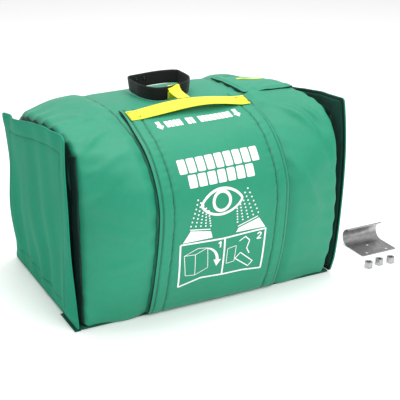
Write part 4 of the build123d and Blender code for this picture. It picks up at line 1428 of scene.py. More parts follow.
@dataclass
class Print:
    """White marks on the flap: an eye over two sprays, two numbered steps, and plain blocks.

    Places are (x, height) in metres on the flap's face. Wording is not drawn: rows of plain
    blocks stand where it would be.
    """

    flap: FrontFlap
    grain: float = 0.0025
    pull_run: float = 0.562

    def rise(self, height: Array) -> Array:
        """Run length of the section at a height on the flap's raised face.

        Args:
            height: Heights above the floor.

        Returns:
            Run lengths, one for each height.
        """
        s = self.flap.section
        n = sum(s.steps[:2])
        face = s.middle[:n, 1] + s.out[:n, 1] * (self.flap.rest + self.flap.thick)
        return np.interp(height, face, s.run[:n])

    def lay(self, name: str, x: Array, height: Array, flip: bool = False) -> Piece:
        """Lays a grid of (x, height) places on the flap as ink.

        Args:
            name: Name of the mark.
            x: Grid of x places.
            height: Grid of heights.
            flip: Turns the quads over.

        Returns:
            The new object.
        """
        return self.lay_run(name, x, self.rise(height), flip)

    def lay_run(self, name: str, x: Array, run: Array, flip: bool = False) -> Piece:
        """Lays a grid of places on the flap as ink.

        Args:
            name: Name of the mark.
            x: Grid of places across.
            run: Grid of run lengths.
            flip: Whether its faces are turned over.

        Returns:
            The new object.
        """
        piece = put_grid(name, self.flap.on_face(x, run), flip=flip)
        dress(piece, self.flap.palette.ink)
        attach(piece, "flap")
        return piece

    def stroke(self, name: str, line: Array, width: float | Array) -> Piece:
        """A line of ink: a strip carried along a path.

        Args:
            name: Name of the mark.
            line: Path, a row of (x, height) for each place.
            width: Width of the strip, or its width at each step.

        Returns:
            The new object.
        """
        gaps = np.linalg.norm(np.diff(line, axis=0), axis=1)
        run = np.concatenate([[0], np.cumsum(gaps)])
        t = np.linspace(0, run[-1], max(4, int(run[-1] / self.grain)))
        path = np.stack([np.interp(t, run, line[:, 0]), np.interp(t, run, line[:, 1])], axis=1)
        step = np.gradient(path, axis=0)
        step /= np.maximum(np.linalg.norm(step, axis=1, keepdims=True), 1e-9)
        out = np.stack([-step[:, 1], step[:, 0]], axis=1)
        half = np.broadcast_to(np.interp(t, run, np.broadcast_to(width, run.shape)) / 2, t.shape)
        side = np.linspace(-1, 1, 3)
        grid = path[:, None] + out[:, None] * (half[:, None] * side[None])[:, :, None]
        return self.lay(name, grid[..., 0], grid[..., 1])

    def block(self, name: str, centre: tuple, size: tuple, slant: float = 0.0) -> Piece:
        """A plain solid block with eased corners: a square grid pulled in at its corners.

        Args:
            name: Name of the mark.
            centre: Its middle, (x, height).
            size: Its width and height.
            slant: How far its top leans, as a share of its height.

        Returns:
            The new object.
        """
        n = max(4, int(size[0] / self.grain)), max(4, int(size[1] / self.grain))
        u, v = np.meshgrid(np.linspace(-1, 1, n[0]), np.linspace(-1, 1, n[1]), indexing="ij")
        pull = 1 - 0.06 * (u**8) * (v**8)
        x = centre[0] + u * pull * size[0] / 2 + slant * v * size[1] / 2
        return self.lay(name, x, centre[1] + v * pull * size[1] / 2)

    def shape(self, name: str, left: Array, right: Array) -> Piece:
        """A filled shape between two edges.

        Args:
            name: Name of the mark.
            left: One edge, a row of (x, height) for each place.
            right: The other edge.

        Returns:
            The new object.
        """
        t = np.linspace(0, 1, 12)[:, None, None]
        u = np.linspace(0, 1, 30)
        edges = []
        for edge in (left, right):
            k = np.linspace(0, 1, len(edge))
            edges.append(np.stack([np.interp(u, k, edge[:, 0]), np.interp(u, k, edge[:, 1])], 1))
        grid = edges[0][None] * (1 - t) + edges[1][None] * t
        return self.lay(name, grid[..., 0], grid[..., 1])

    def disc(self, x: Array, height: Array, radius: float) -> tuple[Array, Array]:
        """Many small discs at once, each a ring of wedges.

        Args:
            x: Place across of each disc.
            height: Height of each disc.
            radius: Radius of all.

        Returns:
            Vertices, and the quads that join them.
        """
        t = np.linspace(0, 2 * np.pi, 9)[:-1]
        ring_x = x[:, None, None] + radius * np.array([0.0, 1.0])[None, :, None] * np.cos(t)
        ring_z = height[:, None, None] + radius * np.array([0.0, 1.0])[None, :, None] * np.sin(t)
        points = self.flap.on_face(ring_x, self.rise(ring_z))
        one = grid_faces(2, 8, (False, True)).reshape(-1, 4)
        faces = one[None] + np.arange(len(x))[:, None, None] * 16
        return points.reshape(-1, 3), faces.reshape(-1, 4)

    def drops(self, name: str, base: tuple, top: tuple, rows: int, columns: int) -> Piece:
        """A spray: discs on a slanted grid between a wide foot and a narrower head.

        Args:
            name: Name of the mark.
            base: Left and right (x, height) of the foot.
            top: Left and right (x, height) of the head.
            rows: Rows of drops.
            columns: Drops in a row.

        Returns:
            The new object.
        """
        v, u = np.meshgrid(np.linspace(0, 1, rows), np.linspace(0, 1, columns), indexing="ij")
        corners = np.array([base[0], base[1], top[0], top[1]], float)
        low = corners[0] * (1 - u[..., None]) + corners[1] * u[..., None]
        high = corners[2] * (1 - u[..., None]) + corners[3] * u[..., None]
        place = (low * (1 - v[..., None]) + high * v[..., None]).reshape(-1, 2)
        points, faces = self.disc(place[:, 0], place[:, 1], 0.0025)
        piece = put_mesh(name, points, faces)
        dress(piece, self.flap.palette.ink)
        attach(piece, "flap")
        return piece

    def eye(self) -> list[Piece]:
        """A plain eye: two arcs meeting at its corners, and a ring.

        Returns:
            The new objects.
        """
        t = np.linspace(-1, 1, 60)
        x = -0.016 + 0.060 * t
        upper = 0.323 + 0.034 * (1 - t**2) ** 0.75
        lower = 0.323 - 0.034 * (1 - t**2) ** 0.75
        turn = np.linspace(0, 2 * np.pi, 60)
        ring = np.stack([-0.016 + 0.0245 * np.cos(turn), 0.325 + 0.0255 * np.sin(turn)], axis=1)
        return [
            self.stroke("eye_upper_lid", np.stack([x, upper], 1), 0.0070),
            self.stroke("eye_lower_lid", np.stack([x, lower], 1), 0.0070),
            self.stroke("eye_ring", ring, 0.0085),
        ]

    def steps(self) -> list[Piece]:
        """Two framed steps with their numbers: a box whose front folds, and a tray held open.

        Returns:
            The new objects.
        """
        frame = spots(
            (-0.132, 0.222),
            (-0.124, 0.088),
            (-0.060, 0.104),
            (0.008, 0.098),
            (0.070, 0.098),
            (0.124, 0.092),
            (0.122, 0.219),
            (-0.005, 0.216),
            (-0.132, 0.222),
        )
        box = spots((-0.118, 0.186), (-0.086, 0.184), (-0.080, 0.118), (-0.108, 0.122), (-0.118, 0.186))
        side = spots((-0.086, 0.184), (-0.052, 0.198), (-0.044, 0.134), (-0.080, 0.118))
        stand = spots((0.010, 0.180), (0.036, 0.184), (0.036, 0.134), (0.012, 0.132), (0.010, 0.180))
        tray = spots((0.038, 0.142), (0.082, 0.108), (0.094, 0.122), (0.052, 0.158), (0.038, 0.142))
        head = spots((0.044, 0.196), (0.062, 0.206), (0.076, 0.192), (0.070, 0.168), (0.080, 0.150))
        border, thin, bold = 0.0050, 0.0018, 0.0044
        made = [
            self.stroke("step_frame", frame, border),
            self.stroke("step_divider", spots((-0.002, 0.216), (0.004, 0.100)), border),
            self.stroke("step_1_box", box, thin),
            self.stroke("step_1_side", side, thin),
            self.stroke("step_1_top", spots((-0.118, 0.186), (-0.080, 0.202), (-0.052, 0.198)), thin),
            self.stroke("step_2_box", stand, thin),
            self.stroke("step_2_tray", tray, 0.0030),
            self.stroke("step_2_head", head, 0.0034),
        ]
        bend = np.linspace(0.0, 1.0, 24)
        arrow = np.stack([-0.052 + 0.034 * np.sin(bend * 1.5), 0.196 - 0.046 * bend**1.6], axis=1)
        made.append(self.stroke("step_1_arrow", arrow, np.linspace(0.004, 0.009, len(bend))))
        foot = (-0.018, 0.132)
        left, right = spots((-0.030, 0.156), foot), spots((-0.006, 0.152), foot)
        made.append(self.shape("step_1_arrow_tip", left, right))
        one = spots((-0.020, 0.203), (-0.0135, 0.209), (-0.0135, 0.190))
        made.append(self.stroke("digit_1", one, bold))
        hook = ((0.098, 0.206), (0.104, 0.2105), (0.110, 0.2075), (0.108, 0.201))
        two = spots(*hook, (0.098, 0.1915), (0.111, 0.1915))
        made.append(self.stroke("digit_2", two, 0.0040))
        return made

    def nozzles(self) -> list[Piece]:
        """Two plain fan nozzles that lean towards the eye, one each side.

        Returns:
            The new objects.
        """
        made = []
        for name, left, right, lip in (
            (
                "left",
                ((-0.126, 0.226), (-0.106, 0.258)),
                ((-0.040, 0.226), (-0.046, 0.246)),
                ((-0.108, 0.262), (-0.048, 0.252)),
            ),
            (
                "right",
                ((0.030, 0.226), (0.036, 0.238)),
                ((0.120, 0.224), (0.098, 0.256)),
                ((0.034, 0.243), (0.094, 0.261)),
            ),
        ):
            made.append(self.shape("nozzle_" + name, spots(*left), spots(*right)))
            made.append(self.stroke("nozzle_" + name + "_lip", spots(*lip), 0.0030))
        return made

    def wording(self) -> list[Piece]:
        """Rows of plain blocks in place of words, with an arrow at each end of the top row.

        Returns:
            The new objects.
        """
        made = []
        for row, (start, end, height, tall, count) in enumerate(
            ((-0.125, 0.115, 0.4200, 0.031, 9), (-0.106, 0.091, 0.3855, 0.030, 7))
        ):
            pitch = (end - start) / count
            for k in range(count):
                middle = start + pitch * (k + 0.5)
                made.append(self.block(f"title_{row + 1}_{k + 1}", (middle, height), (pitch * 0.84, tall)))
        run_mid, tall = self.pull_run, 0.028
        first, last, gap = -0.101, 0.0985, 0.01245
        spaces = (4, 7)
        for k in range(round((last - first) / gap)):
            if k in spaces:
                continue
            u = np.linspace(-1, 1, 5)[:, None]
            v = np.linspace(-1, 1, 5)[None]
            x = first + gap * (k + 0.5) + u * gap * 0.42 + 0 * v
            made.append(self.lay_run(f"pull_{k + 1}", x, run_mid + v * tall / 2 + 0 * u))
        for name, middle in (("left", -0.117), ("right", 0.114)):
            v = np.linspace(0, 1, 12)[None]
            u = np.linspace(-1, 1, 9)[:, None]
            wide = np.where(v < 0.45, 0.0135 * v / 0.45, 0.0060)
            along = run_mid - 0.019 + v * 0.038 + 0 * u
            made.append(self.lay_run("pull_arrow_" + name, middle + u * wide, along))
        return made

    def draw(self) -> list[Piece]:
        """Draws every mark.

        Returns:
            The new objects.
        """
        made = self.eye() + self.steps() + self.nozzles() + self.wording()
        for name, foot, head in (
            ("left", ((-0.106, 0.272), (-0.048, 0.262)), ((-0.086, 0.340), (-0.056, 0.306))),
            ("right", ((0.032, 0.256), (0.094, 0.272)), ((0.028, 0.304), (0.062, 0.344))),
        ):
            made.append(self.drops("spray_" + name, foot, head, rows=7, columns=5))
        return made


# ---------------- webbing


@dataclass
class Webbing:
    """The yellow pull strap, its tab, and the black handle loop with two snaps."""

    palette: Palette
    strap_width: float = 0.046
    strap_reach: float = 0.176
    strap_rise: float = 0.015
    strap_thick: float = 0.0022
    loop_height: float = 0.038
    loop_skew: float = 0.012

    def shoulder(self, lift: float) -> tuple[Array, Array, Array]:
        """The slope that the strap lies on.

        Args:
            lift: Height above the strap's flat ends.

        Returns:
            Its direction upwards, its direction outwards, and the point under the strap's middle.
        """
        low, high = (np.array(v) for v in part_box("pull_strap"))
        slope = np.array([0.0, 88.0, 22.5])
        slope /= np.linalg.norm(slope)
        out = np.array([0.0, -slope[2], slope[1]])
        middle = (low + high) / 2
        return slope, out, middle + out * (-(self.strap_rise + self.strap_thick) / 2 + lift)

    def strap(self) -> Piece:
        """The strap: flat stitched ends and a shallow arch, following the slope of the shoulder.

        Returns:
            The new object.
        """
        slope, out, base = self.shoulder(0.0)
        x = np.linspace(-self.strap_reach, self.strap_reach, 90)
        t = np.clip(x / 0.150, -1, 1)
        rise = self.strap_rise * (1 - t**2) ** 1.15
        sway = 0.003 * np.sin(t * 2.4 + 0.5) * (1 - t**2)
        path = np.stack([x, base[1] + 0 * x, base[2] + 0 * x], 1) + out * rise[:, None] + slope * sway[:, None]
        across = np.tile(-slope, (len(x), 1))
        twist = 0.10 * np.sin(t * 2.0) * (1 - t**2)
        across = across * np.cos(twist)[:, None] + out * np.sin(twist)[:, None]
        piece = ribbon("pull_strap_web", path, across, self.strap_width, self.strap_thick, False, 13)
        dress(piece, self.palette.yellow)
        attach(piece, "flap")
        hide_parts("pull_strap")
        return piece

    def box_stitches(self) -> list[Piece]:
        """A raised square of thread with a cross in it at each end of the strap.

        Returns:
            The new objects.
        """
        slope, out, base = self.shoulder(0.0020)
        made = []
        s, length = 0.0145, 0.003
        box = spots((-s, -s), (s, -s), (s, s), (-s, s), (-s, -s), (s, s), (s, -s), (-s, s))
        run = np.concatenate([[0], np.cumsum(np.linalg.norm(np.diff(box, axis=0), axis=1))])
        t = np.linspace(0, run[-1], 160)
        u, v = np.interp(t, run, box[:, 0]), np.interp(t, run, box[:, 1])
        across = np.tile(slope, (len(t), 1)) * 0.7 + np.array([0.7, 0, 0])
        for name, side in (("left", -1), ("right", 1)):
            path = np.stack([side * 0.160 + u, base[1] + 0 * u, base[2] + 0 * u], 1) + slope * v[:, None]
            path = path + out * (0.0004 * np.abs(np.sin(t * np.pi / length)))[:, None]
            piece = ribbon("strap_stitches_" + name, path, across, 0.0010, 0.0006, False, 3)
            dress(piece, self.palette.thread)
            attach(piece, "flap")
            made.append(piece)
        return made

    def tab(self) -> Piece:
        """The tab: from behind the strap up to the handle's front strand, then round it.

        Returns:
            The new object.
        """
        low, high = (np.array(v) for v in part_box("pull_tab"))
        ring = high[1] - 0.0040
        x = (low[0] + high[0]) / 2
        start = np.array([low[1] + 0.001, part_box("pull_strap")[1][2] - 0.0006])
        knots = np.array([
            start, (start[0] + 0.03, start[1] + 0.002), (ring - 0.014, start[1] + 0.005),
            (ring - 0.0045, start[1] + 0.012), (ring - 0.0030, high[2] - 0.004), (ring, high[2] - 0.0006),
            (ring + 0.0030, high[2] - 0.004), (ring + 0.0030, low[2] + 0.006), (ring, low[2] + 0.0012),
            (ring - 0.0030, low[2] + 0.006), (ring - 0.0036, start[1] + 0.004)])
        run = np.concatenate([[0], np.cumsum(np.linalg.norm(np.diff(knots, axis=0), axis=1))])
        t = np.linspace(0, run[-1], 90)
        y, z = np.interp(t, run, knots[:, 0]), np.interp(t, run, knots[:, 1])
        for _ in range(3):
            y[1:-1] = 0.25 * y[:-2] + 0.5 * y[1:-1] + 0.25 * y[2:]
            z[1:-1] = 0.25 * z[:-2] + 0.5 * z[1:-1] + 0.25 * z[2:]
        path = np.stack([x + 0 * y, y, z], 1)
        piece = ribbon("pull_tab_web", path, np.tile([1.0, 0, 0], (90, 1)), 0.036, 0.0014, False, 9)
        dress(piece, self.palette.yellow)
        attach(piece, "handle")
        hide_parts("pull_tab")
        return piece

    def loop(self) -> Piece:
        """The handle loop: a slack loop of webbing on edge, drawn forward at its tab.

        The path is a closed Catmull-Rom curve in plan; the band leans out as it goes round.

        Returns:
            The new object.
        """
        low, high = (np.array(v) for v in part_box("handle_loop"))
        middle, half = (low + high) / 2, (high - low) / 2 - 0.0016
        back = ((-0.86, 0.90), (-0.30, 1.00), (0.50, 1.0), (0.96, 0.92), (1.0, 0.45), (0.93, -0.25))
        front = ((0.60, -0.78), (0.10, -0.97), (-0.30, -0.98), (-0.70, -0.80), (-0.97, -0.25), (-1.0, 0.45))
        knots = spots(*back, *front)
        count = 18
        t = np.tile(np.linspace(0, 1, count, endpoint=False), len(knots))[:, None]
        a, b, c, d = (np.repeat(np.roll(knots, k, 0), count, axis=0) for k in (1, 0, -1, -2))
        plan = 0.5 * (2 * b + (c - a) * t + (2 * a - 5 * b + 4 * c - d) * t**2 + (3 * b - a - 3 * c + d) * t**3)
        plan = np.clip(plan, -1, 1)
        x, y = plan[:, 0], plan[:, 1]
        path = np.stack([
            middle[0] + half[0] * x, middle[1] + half[1] * y + self.loop_skew * x * (1 - y) / 2,
            middle[2] + 0.0014 * np.sin(3 * x + 0.6)], 1)
        lean = np.stack([0.10 * x, 0.10 * y, np.ones_like(x)], 1)
        across = lean / np.linalg.norm(lean, axis=1, keepdims=True)
        piece = ribbon("handle_loop_web", path, across, self.loop_height, 0.0028, True, 11)
        dress(piece, self.palette.black)
        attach(piece, "handle")
        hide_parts("handle_loop")
        return piece

    def snaps(self) -> list[Piece]:
        """Two domed snaps on the inner face of the loop's back strand.

        Returns:
            The new objects.
        """
        low, high = (np.array(v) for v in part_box("handle_snaps"))
        r = (high[2] - low[2]) / 2
        a = np.linspace(0, np.pi / 2, 8)
        dome = np.stack([r * np.sin(a), 0.0008 + 0.0012 * np.cos(a)], 1)
        profile = np.concatenate([dome, spots((r, 0.0006), (r, 0.0))])
        forward = np.array([0, -1.0, 0])
        made = []
        for k, x in enumerate((low[0] + r, high[0] - r)):
            centre = np.array([x, high[1] - 0.0002, (low[2] + high[2]) / 2])
            piece = lathe(f"handle_snap_{k + 1}", profile, centre, forward)
            dress(piece, self.palette.plating)
            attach(piece, "handle")
            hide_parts("handle_snaps")
            made.append(piece)
        return made


# ---------------- fill flap and end panels


@dataclass
class FillFlap:
    """The padded flap over the fill neck, with its thin yellow tape."""

    section: Section
    palette: Palette
    rest: float = 0.0016
    thick: float = 0.0080

    def place(self, x: Array, y: Array, lift: Array) -> Array:
        """Points over the jacket's top, at the height of the section there plus a lift.

        Args:
            x: Places along the jacket.
            y: Places from front to back.
            lift: Height above the section.

        Returns:
            Points (X, Y, Z).
        """
        s = self.section
        tops = []
        for line in (s.middle, s.right):
            first, last = sum(s.steps[:2]), sum(s.steps[:5])
            tops.append(np.interp(y, line[first:last, 0], line[first:last, 1]))
        part = s.share(x)
        return np.stack([x, y, tops[0] * (1 - part) + tops[1] * part + lift], axis=-1)

    def pad(self) -> Piece:
        """The flap: a closed shell, crowned face above and plain back below, rounded corners.

        Returns:
            The new object.
        """
        low, high = (np.array(v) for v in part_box("fill_flap"))
        n = 48
        u, v = np.meshgrid(np.linspace(-1, 1, n), np.linspace(-1, 1, n), indexing="ij")
        reach = np.maximum(np.abs(u), np.abs(v))
        corner = np.clip((np.abs(u) + np.abs(v) - 1.7) / 0.3, 0, 1)
        x = (low[0] + high[0]) / 2 + u * (high[0] - low[0]) / 2 * (1 - 0.03 * corner)
        y = (low[1] + high[1]) / 2 + v * (high[1] - low[1]) / 2 * (1 - 0.03 * corner)
        edge = 1 - reach
        crown = self.thick * (0.45 + 0.55 * smooth_step(0.0, 0.16, edge))
        crown -= 0.0016 * np.exp(-(((edge - 0.09) / 0.03) ** 2)) - 0.0009 * ripple(x, y, 0.05, 9)
        face = self.place(x, y, self.rest + crown)
        back = self.place(x, y, self.rest + 0 * x)
        index = np.arange(n * n).reshape(n, n)
        rim = np.concatenate([index[0], index[1:-1, -1], index[-1, ::-1], index[-2:0:-1, 0]])
        nxt = np.roll(rim, -1)
        faces = np.concatenate([
            grid_faces(n, n, (False, False)).reshape(-1, 4),
            grid_faces(n, n, (False, False), True).reshape(-1, 4) + u.size,
            np.stack([rim, nxt, nxt + u.size, rim + u.size], 1)[:, ::-1],
        ])
        points = np.concatenate([face.reshape(-1, 3), back.reshape(-1, 3)])
        piece = put_mesh("fill_flap_pad", points, faces, points[:, :2].copy())
        # Slot 1 is painted shade: the rim faces round the flap take the near-black edge material, for the dark
        # shadow under its edge.
        dress(piece, self.palette.jacket, self.palette.shadow)
        slots = np.zeros(len(piece.data.polygons), np.int32)
        slots[-len(rim) :] = 1
        piece.data.polygons.foreach_set("material_index", slots)
        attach(piece, "fill_lid")
        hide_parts("fill_flap")
        return piece

    def tape(self) -> Piece:
        """The thin yellow tape sewn across the flap.

        Returns:
            The new object.
        """
        low, high = (np.array(v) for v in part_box("fill_tape"))
        x = np.linspace(low[0], high[0], 40)
        y = (low[1] + high[1]) / 2 + 0.002 * np.sin((x - low[0]) * 40)
        path = self.place(x, y, self.rest + self.thick + 0.0006 + 0.0006 * np.sin((x - low[0]) * 90))
        across = np.tile([0, -1.0, 0], (len(x), 1))
        piece = ribbon("fill_tape_web", path, across, high[1] - low[1] - 0.002, 0.0011, False, 5)
        dress(piece, self.palette.yellow)
        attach(piece, "fill_lid")
        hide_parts("fill_tape")
        return piece


@dataclass
class EndPanel:
    """A cloth end panel with a stitched hem, and the fuzzy lining on its inner side."""

    side: int
    palette: Palette
    hem: float = 0.046
    flare: float = 0.004

    @property
    def belly(self) -> float:
        """How far the front edge is pushed forward by the body beside it."""
        return 0.026 if self.side > 0 else 0.004

    @property
    def slack(self) -> float:
        """How deep the cloth's loose folds are."""
        return 0.0036 if self.side > 0 else 0.0088

    @property
    def name(self) -> str:
        """Which end it closes."""
        return "left" if self.side < 0 else "right"

    def sheet_points(self, inset: float, lift: float) -> tuple[Array, Array]:
        """The panel's surface: a tall sheet that leans out towards its top.

        The sheet fills the outline between straight bottom, front and back edges and a top
        edge that slopes down to the back. Its corners are rounded by drawing a square corner
        onto a quarter disc. It leans out with height, its top back corner flares, soft
        upright folds run through its lower half and a shallow channel marks the hem.

        Args:
            inset: How far the outline is drawn in from the panel's own.
            lift: Distance towards the jacket.

        Returns:
            Grid of points and their flat coordinates.
        """
        low, high = (np.array(v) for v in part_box(self.name + "_end_panel"))
        u, v = np.meshgrid(np.linspace(0, 1, 90), np.linspace(0, 1, 84), indexing="ij")
        y0, y1, z0 = low[1] + inset, high[1] - inset, low[2] + inset * 1.4
        y = y0 + u * (y1 - y0)
        fall = np.interp(u, [0, 0.19, 0.36, 0.65, 0.81, 1.0], [0, 0.005, 0.016, 0.044, 0.056, 0.066])
        top = high[2] - inset - fall - 0.002 * np.sin(u * 9.0) * u
        z = z0 + v * (top - z0)
        radius = 0.009
        for edge_y, way in ((y0, 1), (y1, -1)):
            for is_top in (0, 1):
                a = 1 - np.clip((y - edge_y) * way / radius, 0, 1)
                span = (top - z) if is_top else (z - z0)
                b = 1 - np.clip(span / radius, 0, 1)
                both = (a > 0) & (b > 0)
                shrink = np.maximum(a, b) / np.maximum(np.hypot(a, b), 1e-9)
                y = np.where(both, edge_y + way * radius * (1 - a * shrink), y)
                turn = radius * (1 - b * shrink)
                z = np.where(both, top - turn if is_top else z0 + turn, z)
        edge = np.minimum(np.minimum(y - y0, y1 - y), np.minimum(top - z, z - z0)) + inset
        behind = (high[1] - y) / (high[1] - low[1])
        lean = 0.010 * (z / 0.52) ** 1.6 + 0.006 * np.sin(np.pi * np.clip(z / 0.52, 0, 1)) * behind
        corner = crease(y, z, (high[1] - 0.02, 0.47), (high[1] + 0.02, 0.42), 0.05)
        loose = 0.3 + 0.7 * smooth_step(0.50, 0.16, z)
        upright = (0.35 + ripple(y, z * 0.16, 0.075, 31 + self.side)) * loose * self.slack
        broad = 0.0035 * ripple(y, z, 0.30, 41 + self.side)
        wavy = 0.0040 * ripple(y, z * 0.4, 0.12, 53 + self.side) * smooth_step(0.07, 0.0, edge)
        channel = -0.0022 * np.exp(-(((edge - self.hem) / 0.004) ** 2))
        out = lean + self.flare * corner + upright + broad + wavy + channel
        out = np.maximum(out * smooth_step(0.0, 0.05, z - low[2] + 0.004), -0.0030)
        x = (high[0] - 0.0010 + out - lift) if self.side > 0 else (low[0] + 0.0010 - out + lift)
        y = y - self.belly * np.sin(np.pi * np.clip(z / 0.54, 0, 1)) ** 0.7 * (1 - u) ** 2
        points = np.stack([x, y, z], axis=2)
        return points, np.stack([edge, z + y], axis=2)

    def sheet(self) -> Piece:
        """The outer cloth with its hem.

        Returns:
            The new object.
        """
        points, uv = self.sheet_points(0.0, 0.0)
        piece = put_grid(self.name + "_panel_cloth", points, uv=uv, flip=self.side < 0)
        # Painted shade: the cloth's inner side takes the near-black edge material, for the shade between panel
        # and body. Its rim keeps the panel nylon.
        dress(piece, self.palette.panel, self.palette.shadow)
        solid(piece, 0.0042, inside=1, rim=0)
        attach(piece, self.name + "_panel")
        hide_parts(self.name + "_end_panel")
        self.settle(piece)
        return piece

    def settle(self, piece: Piece) -> None:
        """Gives the cloth or its lining a mesh of its own, the same for both panels.

        Args:
            piece: The cloth or its lining.
        """
        if self.side < 0:
            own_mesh(piece)
        else:
            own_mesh(piece)

    def lining(self) -> Piece:
        """The loop lining inside the panel.

        Returns:
            The new object.
        """
        points, uv = self.sheet_points(0.009, 0.0048)
        piece = put_grid(self.name + "_panel_pile", points, uv=uv, flip=self.side < 0)
        dress(piece, self.palette.pile)
        solid(piece, 0.0014)
        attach(piece, self.name + "_panel")
        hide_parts(self.name + "_panel_lining")
        self.settle(piece)
        return piece


# ---------------- inside and hardware


@dataclass
class Insides:
    """Insulation blocks, and finishes for the moulded and metal parts inside."""

    palette: Palette
    radius: float = 0.008

    def blocks(self) -> list[Piece]:
        """Quilted batting blocks in place of the plain ones.

        Returns:
            The new objects.
        """
        made = []
        for node, steps in (
            ("back_insulation", (48, 4, 30)),
            ("left_insulation", (4, 32, 30)),
            ("right_insulation", (4, 32, 30)),
            ("front_left_insulation", (16, 4, 30)),
            ("front_right_insulation", (16, 4, 30)),
        ):
            low, high = (np.array(v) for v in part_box(node))
            piece = pad(node + "_quilt", low, high, self.radius, 0.0, self.palette.batting, "station", node,
                        steps, 0.055)
            made.append(piece)
        made.append(self.top_block())
        return made

    def top_block(self) -> Piece:
        """The quilted block over the tank, with a round hole for the fill neck.

        Rings run from the hole out to the block's outline: each point lies on the line from
        the hole's centre to the outline, and the ring's profile rounds both rims.

        Returns:
            The new object.
        """
        low, high = (np.array(v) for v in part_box("top_insulation"))
        neck_low, neck_high = (np.array(v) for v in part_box("fill_cap"))
        centre = ((neck_low + neck_high) / 2)[:2]
        hole = (neck_high[0] - neck_low[0]) / 2 + 0.0045
        t = np.linspace(0, 2 * np.pi, 160, endpoint=False)
        ray = np.stack([np.cos(t), np.sin(t)], 1)
        reach = np.full(len(t), 9.0)
        for k in (0, 1):
            limit = np.where(ray[:, k] > 0, high[k] - centre[k], centre[k] - low[k])
            reach = np.minimum(reach, limit / np.maximum(np.abs(ray[:, k]), 1e-6))
        share = np.concatenate([[0.0, 0.0, 0.01], np.linspace(0.03, 0.97, 30), [0.99, 1.0, 1.0]])
        rise = np.concatenate([[0.3, 0.8, 0.96], np.ones(30), [0.96, 0.8, 0.3]])
        share = np.concatenate([share, share[::-1]])
        level = np.concatenate([high[2] - (1 - rise) * 0.008, low[2] + (1 - rise) * 0.008])
        away = hole + share[:, None] * (reach - hole)[None]
        plan = centre + away[:, :, None] * ray[None]
        waves = np.sin(plan[..., 0] * np.pi / 0.055) * np.sin(plan[..., 1] * np.pi / 0.055)
        quilt = 0.004 * (1 - np.abs(waves) ** 0.5)
        top = (np.arange(len(share)) < len(share) // 2)[:, None]
        z = level[:, None] - quilt * top * ((share > 0.02) & (share < 0.98))[:, None]
        points = np.concatenate([plan, z[:, :, None]], axis=2)
        piece = put_grid("top_insulation_quilt", points, (True, True), uv=plan, flip=True)
        dress(piece, self.palette.batting)
        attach(piece, "station")
        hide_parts("top_insulation")
        return piece

    def finish_parts(self) -> None:
        """Gives each moulded, metal and rubber part its finish."""
        p = self.palette
        for material, names in (
            (p.tank, ("tank",)),
            (p.tray, ("arm_tray", "left_dust_cover", "right_dust_cover")),
            (p.dark, ("fill_cap", "drain_plug", "pivot_bushing")),
            (p.white, ("left_spray_head", "right_spray_head", "arm_manifold", "supply_pipe")),
            (p.rubber, ("cap_gasket", "drain_gasket", "supply_gasket", "spool_rings")),
            (p.steel, ("pivot_plate", "valve_plate", "hook_bracket")),
            (p.steel, ("pivot_pin", "left_cover_pin", "right_cover_pin")),
            (p.spacer, ("spacer_1", "spacer_2", "spacer_3")),
            (p.brass, ("valve_body", "valve_spool")),
        ):
            for name in names:
                dress(frame["nodes"][name], material)
                LOG.info("finished %s as %s", name, material.name)


# ---------------- studio


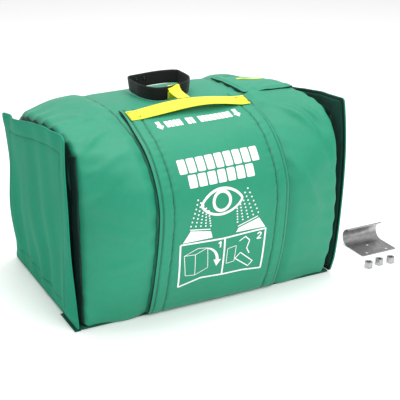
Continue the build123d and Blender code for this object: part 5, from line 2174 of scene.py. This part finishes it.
@dataclass
class Studio:
    """Floor, light and camera."""

    height: float = 1.2607
    place: tuple[float, float] = (-1.1489, -2.4207)
    down: float = 21.56
    turn: float = 27.28
    lens: float = 90.0

    def camera(self) -> None:
        """A camera a little above and to the left of the front."""
        data = bpy.data.cameras.new("view")
        data.lens = self.lens
        data.sensor_width = 36.0
        data.clip_end = 60.0
        piece = bpy.data.objects.new("view", data)
        piece.location = (*self.place, self.height)
        piece.rotation_euler = (math.radians(90 - self.down), 0.0, -math.radians(self.turn))
        bpy.context.scene.collection.objects.link(piece)
        bpy.context.scene.camera = piece

    def lamp(self, name: str, place: tuple, aim: tuple, size: float, power: float) -> None:
        """A large square lamp that points at a place.

        Args:
            name: Name of the lamp.
            place: Where it stands.
            aim: Where it points.
            size: Side of the square.
            power: Power in watts.
        """
        data = bpy.data.lights.new(name, "AREA")
        data.size = size
        data.energy = power
        piece = bpy.data.objects.new(name, data)
        piece.location = place
        run = np.array(aim, float) - np.array(place, float)
        flat = math.hypot(run[0], run[1])
        piece.rotation_euler = (math.atan2(flat, -run[2]), 0.0, math.atan2(run[1], run[0]) - math.pi / 2)
        bpy.context.scene.collection.objects.link(piece)

    def floor(self) -> None:
        """A pale floor that curves up far behind the object."""
        u, v = np.meshgrid(np.linspace(-9, 9, 25), np.linspace(-7, 12, 60), indexing="ij")
        z = -0.0004 + 0.35 * np.maximum(v - 6.5, 0) ** 1.6
        piece = put_grid("floor", np.stack([u, v, z], 2))
        board = Board("pale_floor", Place.SHAPE)
        tone = board.group(Groups.mottle(), Place=board.shape, Coarse=0.6, Fine=6.0)
        board.wire("Base Color", board.blend(srgb(250, 250, 250), srgb(255, 255, 255), tone))
        board.put(Roughness=0.9, Specular_IOR_Level=0.1, Emission_Strength=0.16)
        board.shader.inputs["Emission Color"].default_value = (1.0, 1.0, 1.0, 1.0)
        dress(piece, board.material)

    def build(self) -> None:
        """Sets up the whole studio."""
        scene = bpy.context.scene
        scene.view_settings.view_transform = "Standard"
        world = bpy.data.worlds.new("soft_room")
        world.use_nodes = True
        air = world.node_tree.nodes["Background"].inputs
        air["Color"].default_value = (1.0, 1.0, 1.0, 1.0)
        seen = world.node_tree.nodes.new("ShaderNodeLightPath")
        power = world.node_tree.nodes.new("ShaderNodeMapRange")
        power.inputs["To Min"].default_value = 0.62
        power.inputs["To Max"].default_value = 0.84
        world.node_tree.links.new(seen.outputs["Is Camera Ray"], power.inputs["Value"])
        world.node_tree.links.new(power.outputs["Result"], air["Strength"])
        scene.world = world
        self.lamp("key", (0.6, -2.8, 3.2), (0, 0, 0.2), 2.2, 62.0)
        self.lamp("top", (0.2, 0.4, 3.4), (0, 0, 0.3), 2.6, 80.0)
        self.floor()
        self.camera()


def main() -> None:
    """Builds the object piece by piece, then the studio."""
    logging.basicConfig(level=logging.INFO, format="%(name)s: %(message)s")
    palette = Palette()
    section = Section()
    jacket = Jacket(section, palette)
    flap = FrontFlap(section, palette)
    webbing = Webbing(palette)
    lid = FillFlap(section, palette)
    insides = Insides(palette)
    made = [jacket.skin(), jacket.base(), jacket.flange()] + jacket.strips() + jacket.tabs() + jacket.gap_shades()
    made += [flap.pad()] + flap.print_all()
    made += [webbing.strap(), webbing.tab(), webbing.loop()] + webbing.box_stitches() + webbing.snaps()
    made += [lid.pad(), lid.tape()]
    for side in (-1, 1):
        panel = EndPanel(side, palette)
        made += [panel.sheet(), panel.lining()]
    made += insides.blocks()
    insides.finish_parts()
    for piece in made:
        LOG.info("built %s with %d points", piece.name, len(piece.data.vertices))
    Studio().build()


if __name__ == "__main__":
    main()
